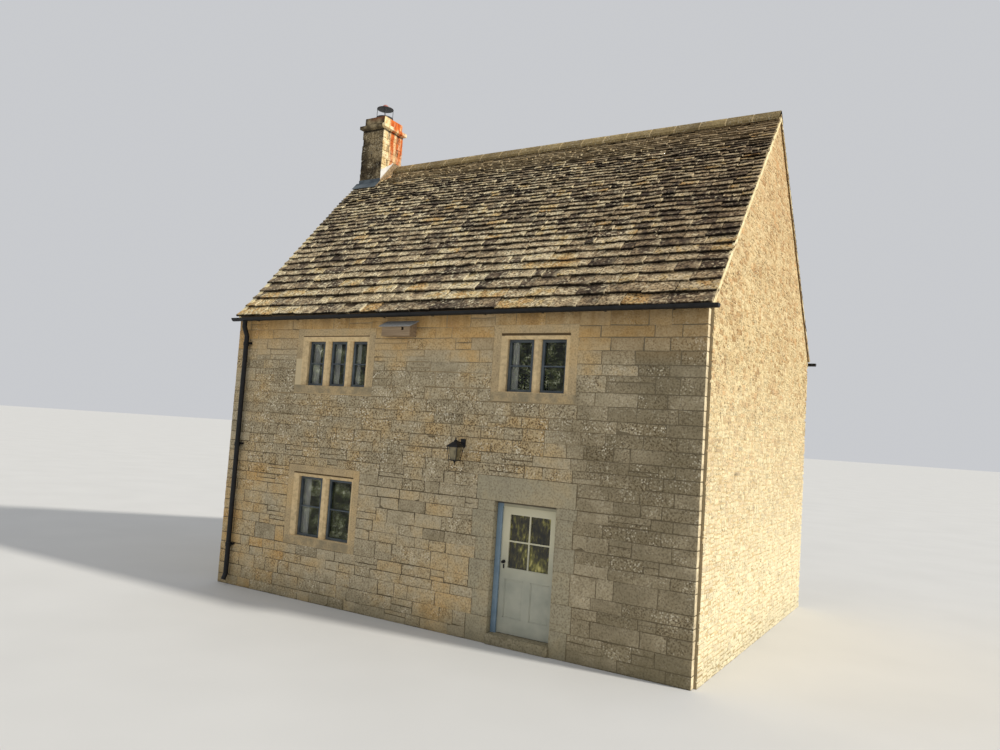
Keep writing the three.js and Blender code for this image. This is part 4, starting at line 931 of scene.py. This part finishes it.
# The ridge
# Sawn stone ridge tiles about half a metre long, laid over the last courses of both slopes.
# They are bedded in pale mortar, which shows between them and closes the two ends.
def ridge_ring(grow):
    """The section of a ridge tile, up one leg and down the other, thicker by grow all round."""
    leg, thick, crown, top = 0.230, 0.050, 0.03, 9.073
    lean = np.array([math.cos(PITCH), -math.sin(PITCH)])
    outer_end = lean * (leg + grow)
    inner_end = outer_end * 0.97
    drop = thick / math.cos(PITCH) + grow
    outer = [outer_end, lean * crown, -lean * [1, -1] * crown, outer_end * [-1, 1]]
    inner = [inner_end * [-1, 1] + [0, -drop * 0.7], [0, -drop], inner_end + [0, -drop * 0.7]]
    return np.array(outer + inner) + [RIDGE_Y, top + grow]


def ridge_run(name, lengths, grow, finish, marks):
    """Ridge tiles end to end: the section's ring at both ends of each tile."""
    ring = ridge_ring(grow)[::-1]
    starts, ends = np.array(lengths).T
    x = np.stack([starts, ends], axis=1)[:, :, None]
    points = np.stack(np.broadcast_arrays(x, ring[:, 0], ring[:, 1]), axis=3)
    return surface(name, points.reshape(-1, 3), ring_faces(len(starts), 2, len(ring)), finish,
                   marks, 30.0)


TILE_COUNT, TILE_GAP = 18, 0.010
ridge_low, ridge_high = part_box("ridge_tiles")
joints = np.linspace(ridge_low.x, ridge_high.x, TILE_COUNT + 1)
lengths = [(a + TILE_GAP, b - TILE_GAP) for a, b in zip(joints, joints[1:])]
RIDGE_SHADES = [(0.1, (104, 90, 66)), (0.45, (152, 134, 96)), (0.8, (198, 176, 126))]
ridge_stone = limestone("ridge stone", RIDGE_SHADES, 0.3, 0.9, 0.9, 0.014)
mossy_foot = ridge_stone.along("Z", 8.985, 9.045, 0.6, 0.0)
ridge_stone.wash(mossy_foot, (122, 106, 74))
tiles = ridge_run("ridge_tiles_laid", lengths, 0.0, ridge_stone,
                  {"tint": slater.normal(0.5, 0.15, TILE_COUNT), "worn": [0.8]})
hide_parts("ridge_tiles")
ridge_run("ridge_bedding", [(ridge_low.x + 0.01, ridge_high.x - 0.01)], -0.006, pale_mortar,
          {"tint": [0.5], "worn": [0.2]})
for name, x0, x1 in (("ridge_end_left", ridge_low.x + 0.012, ridge_low.x + 0.06),
                     ("ridge_end_right", ridge_high.x - 0.06, ridge_high.x - 0.012)):
    ring = [(RIDGE_Y - 0.15, 8.86), (RIDGE_Y - 0.02, 9.025), (RIDGE_Y + 0.02, 9.025), (RIDGE_Y + 0.15, 8.86)]
    points = np.array([(x, y, z) for x in (x0, x1) for y, z in ring])
    surface(name, points, ring_faces(1, 2, 4), verge_mortar)


# The chimney
# A square stack of dressed blocks on the left-hand gable, with a drip course and a capping course. Lead
# dresses its foot, and a steel ring and rain cap stand on the flue. Rust has run down its sunny side.
def sunny_side(stone):
    """Changes a chimney finish on the stack's right-hand face, and on the capping course's, which is set in:
    cream stone, with two streaks of rust that run down it and spread on the drip course and the capping."""
    level, across_face, outward = stone.axis("Z"), stone.axis("Y"), stone.axis("X")
    on_stack = stone.rise(outward, stack_high.x - 0.02, stack_high.x - 0.012)
    on_course = stone.times(stone.rise(outward, stack_high.x - 0.031, stack_high.x - 0.029),
                            stone.rise(level, 9.884, 9.888))
    sunny = stone.reckon("MAXIMUM", on_stack, on_course)
    cream = stone.shades(stone.noise(9.0, 5.0, (1.0, 1.0, 0.6)),
                         [(0.35, (216, 184, 128)), (0.48, (246, 228, 174)), (0.65, (255, 244, 202))])
    cream = stone.blend(stone.clouds(30.0, 3.0, 0.52, 0.68, 0.0, 0.7), cream, paint(170, 128, 84))
    streaks = stone.add(stone.band(across_face, -0.20, 0.03, 0.08), stone.band(across_face, 0.06, 0.07, 0.10))
    streaks = stone.add(stone.times(streaks, stone.rise(level, 8.7, 9.4, 0.5, 1.0)), 0.12)
    on_cap = stone.times(stone.rise(level, 9.80, 9.86), stone.band(across_face, -0.08, 0.11, 0.05))
    run = stone.rise(stone.noise(14.0, 5.0, (1.0, 1.0, 0.25)), 0.36, 0.56, 0.3, 1.0)
    rust = stone.shades(stone.noise(24.0, 4.0, (1.0, 1.0, 0.3)),
                        [(0.35, (178, 78, 34)), (0.65, (228, 124, 56))])
    stone.wash(sunny, stone.blend(stone.times(stone.add(streaks, on_cap), run), cream, rust))


CHIMNEY_SHADES = [(0.0, (32, 27, 21)), (0.3, (68, 59, 45)), (0.55, (102, 91, 70)), (0.85, (172, 156, 124))]
chimney_stone = limestone("chimney stone", CHIMNEY_SHADES, 0.46, 0.9, 0.6, 0.022)
sunny_side(chimney_stone)
# Painted shadow: a dark band on the stack just under the drip course.
painted_shadow_under_drip = chimney_stone.along("Z", stack_high.z - 0.055, stack_high.z - 0.03, 0.0, 0.85)
chimney_stone.wash(painted_shadow_under_drip, (28, 22, 16))
cap_stone = limestone("chimney capping stone", CHIMNEY_SHADES[1:], 0.25, 0.0, 0.0, 0.012, tint=5.0)
sunny_side(cap_stone)
rusty_lip = cap_stone.times(cap_stone.along("Z", 9.95, 10.06, 0.0, 0.8),
                            cap_stone.along("Y", stack_low.y + 0.035, stack_low.y + 0.04, 1.0, 0.0),
                            cap_stone.along("X", stack_low.x + 0.08, stack_low.x + 0.3))
cap_stone.wash(rusty_lip, (124, 70, 40))

FLUE = 0.08
stack_middle = (stack_low + stack_high) / 2
CORE_INSET = 0.016
core_low = np.array(stack_low) + [CORE_INSET, CORE_INSET, 0.0]
core_high = np.array(stack_high) - [CORE_INSET, CORE_INSET, 0.002]
flue = [stack_middle.x - FLUE, stack_middle.x + FLUE, stack_middle.y - FLUE, stack_middle.y + FLUE]
core = [((x0, y0, core_low[2]), (x1, y1, core_high[2]))
        for x0, x1, y0, y1 in ((core_low[0], core_high[0], core_low[1], flue[2]),
                               (core_low[0], core_high[0], flue[3], core_high[1]),
                               (core_low[0], flue[0], flue[2], flue[3]),
                               (flue[1], core_high[0], flue[2], flue[3]))]
stacker = np.random.default_rng(8)
block_piece("stack_core", core, 0.002, 0.0, chimney_stone, 0.1, 0.4, stacker)
stack_levels = rows_between([stack_low.z, stack_high.z - 0.002], 0.175, stacker)
BED, BOND, GAP = 0.15, 0.06, 0.004
left, right, front, back = stack_low.x, stack_high.x, stack_low.y, stack_high.y
blocks = []
for course, (low, high) in enumerate(zip(stack_levels, stack_levels[1:])):
    z0, z1 = low + 0.002, high - 0.0015
    notch = 0.045 if course == len(stack_levels) - 3 else 0.0
    split = stack_middle.x + stacker.uniform(-0.12, 0.12)
    behind = stack_middle.x + stacker.uniform(-0.12, 0.12)
    in_by = stacker.uniform(0.0, 0.010, 8)
    bond = BOND * (course % 2)
    for x0, x1, y0, y1 in (
            (left + in_by[0] + notch, split - GAP, front + in_by[1], front + BED),
            (split + GAP, right - in_by[3] * 0.3, front + in_by[2], front + BED + bond),
            (left + in_by[4], behind - GAP, back - BED, back - in_by[5]),
            (behind + GAP, right - in_by[6] * 0.3, back - BED - bond, back - in_by[7]),
            (left + in_by[7], left + BED, front + BED + 2 * GAP, back - BED - 2 * GAP),
            (right - BED, right - in_by[0] * 0.3, front + BED + BOND + 2 * GAP, back - BED - BOND - 2 * GAP)):
        blocks.append(((x0, y0, z0), (x1, y1, z1)))
stack_blocks = block_piece("stack_blocks", blocks, 0.007, 0.0028, chimney_stone, 0.45, 0.9,
                           stacker)
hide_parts("chimney_stack")
coat(cap_stone, "chimney_cap")

lead = plain("weathered lead", 0.55, 0.4, (6.0, 4.0), (62, 72, 80), (94, 104, 110), (14.0, 3.0, 0.003))
FILLET_SHADES = [(0.3, (104, 86, 62)), (0.5, (146, 122, 90)), (0.7, (190, 166, 124))]
fillet = lead.shades(lead.noise(24.0, 4.0), FILLET_SHADES)
above_slates = lead.reckon("MULTIPLY_ADD", lead.axis("Y"), -1.2, lead.axis("Z"))
# Painted light: the lead on the stack's right-hand face is painted near white above the slates.
painted_bright_lead = lead.mottled(6.0, 4.0, (214, 212, 206), (240, 238, 232))
painted_sun_face = lead.along("X", stack_high.x - 0.002, stack_high.x)
lead.wash(painted_sun_face, lead.blend(lead.rise(above_slates, 9.20, 9.24), fillet, painted_bright_lead))
coat(lead, "chimney_flashing")
cowl_metal = plain("rain cap metal", 0.5, 0.5, (14.0, 3.0), (9, 9, 11), (22, 23, 27), (30.0, 3.0, 0.001))
red_dome = cowl_metal.along("Z", 10.38, 10.395)
cowl_metal.wash(red_dome, cowl_metal.mottled(18.0, 3.0, (150, 92, 82), (184, 122, 108)))
coat(cowl_metal, "chimney_cowl")


# The gutters and downpipes
# Black half-round gutters on short brackets, one under each eaves. Each runs to a round downpipe at the
# left-hand corner, which is held to the wall at its sockets.
coat(iron, "gutter_front", "gutter_back", "downpipe_front", "downpipe_back")


# The lantern and the nest box
# A black coach lantern hangs from a bracket beside the door. A box for nesting birds, of tan boards under a
# lid of grey roofing felt, hangs under the eaves.
lantern_glass = plain("lantern glass", 0.1, 0.5, (12.0, 3.0), (96, 88, 66), (150, 138, 104),
                      (20.0, 2.0, 0.001))
coat(iron, "wall_lantern")
coat(lantern_glass, "lantern_glass")
coat(sawn_timber("tan boards", (176, 152, 122), (126, 106, 82), (0.08, 1.0, 1.0)), "nest_box")
coat(plain("roofing felt", 0.95, 0.2, (40.0, 4.0), (122, 122, 120), (168, 168, 164), (120.0, 2.0, 0.001)),
     "nest_box_lid")


# The floor, the light and the camera
# A plain pale floor runs to the horizon under a pale sky, with one wide soft light from the right.
# The camera stands in front of the right-hand corner and looks a little upwards.
FLOOR_RADIUS, FLOOR_CORNERS = 400.0, 96
turn = np.linspace(0.0, 2 * math.pi, FLOOR_CORNERS, endpoint=False)
rim = FLOOR_RADIUS * np.stack([np.cos(turn), np.sin(turn), np.zeros(FLOOR_CORNERS)], axis=1) + [0, 0, -0.002]
mesh = bpy.data.meshes.new("floor")
mesh.from_pydata(rim.tolist(), [], [list(range(FLOOR_CORNERS))])
floor_finish = Finish("pale floor", roughness=0.9, specular=0.1)
floor_finish.colour(floor_finish.mottled(0.5, 2.0, (206, 206, 204), (210, 210, 208)))
mesh.materials.append(floor_finish.material)
floor = bpy.data.objects.new("floor", mesh)
bpy.context.scene.collection.objects.link(floor)

world = bpy.data.worlds.new("pale sky")
world.use_nodes = True
background = world.node_tree.nodes["Background"].inputs
background["Color"].default_value = paint(228, 230, 234)
background["Strength"].default_value = 0.75
bpy.context.scene.world = world
lamp = bpy.data.lights.new("soft sun", "SUN")
lamp.energy = 3.0
lamp.angle = math.radians(4.0)
lamp.color = (1.0, 0.95, 0.86)
sun = bpy.data.objects.new("soft sun", lamp)
bpy.context.scene.collection.objects.link(sun)
towards = np.array([0.80, 0.10, 0.57])
tilt = math.acos(towards[2] / np.linalg.norm(towards))
sun.rotation_euler = (tilt, 0.0, math.atan2(towards[1], towards[0]) + math.pi / 2)

camera = bpy.data.objects.new("camera", bpy.data.cameras.new("camera"))
bpy.context.scene.collection.objects.link(camera)
camera.data.sensor_width = 36.0
camera.data.lens = 28.377
camera.data.clip_end = 1000.0
CAMERA_PLACE = (7.5261, -13.7637, 3.1532)
right = (0.855897, 0.512820, 0.066750)
up = (-0.020334, -0.095602, 0.995212)
backward = (0.516746, -0.853156, -0.071397)
camera.matrix_world = Matrix.Translation(CAMERA_PLACE) @ Matrix([right, up, backward]).transposed().to_4x4()
bpy.context.scene.camera = camera
bpy.context.scene.view_settings.view_transform = "Standard"
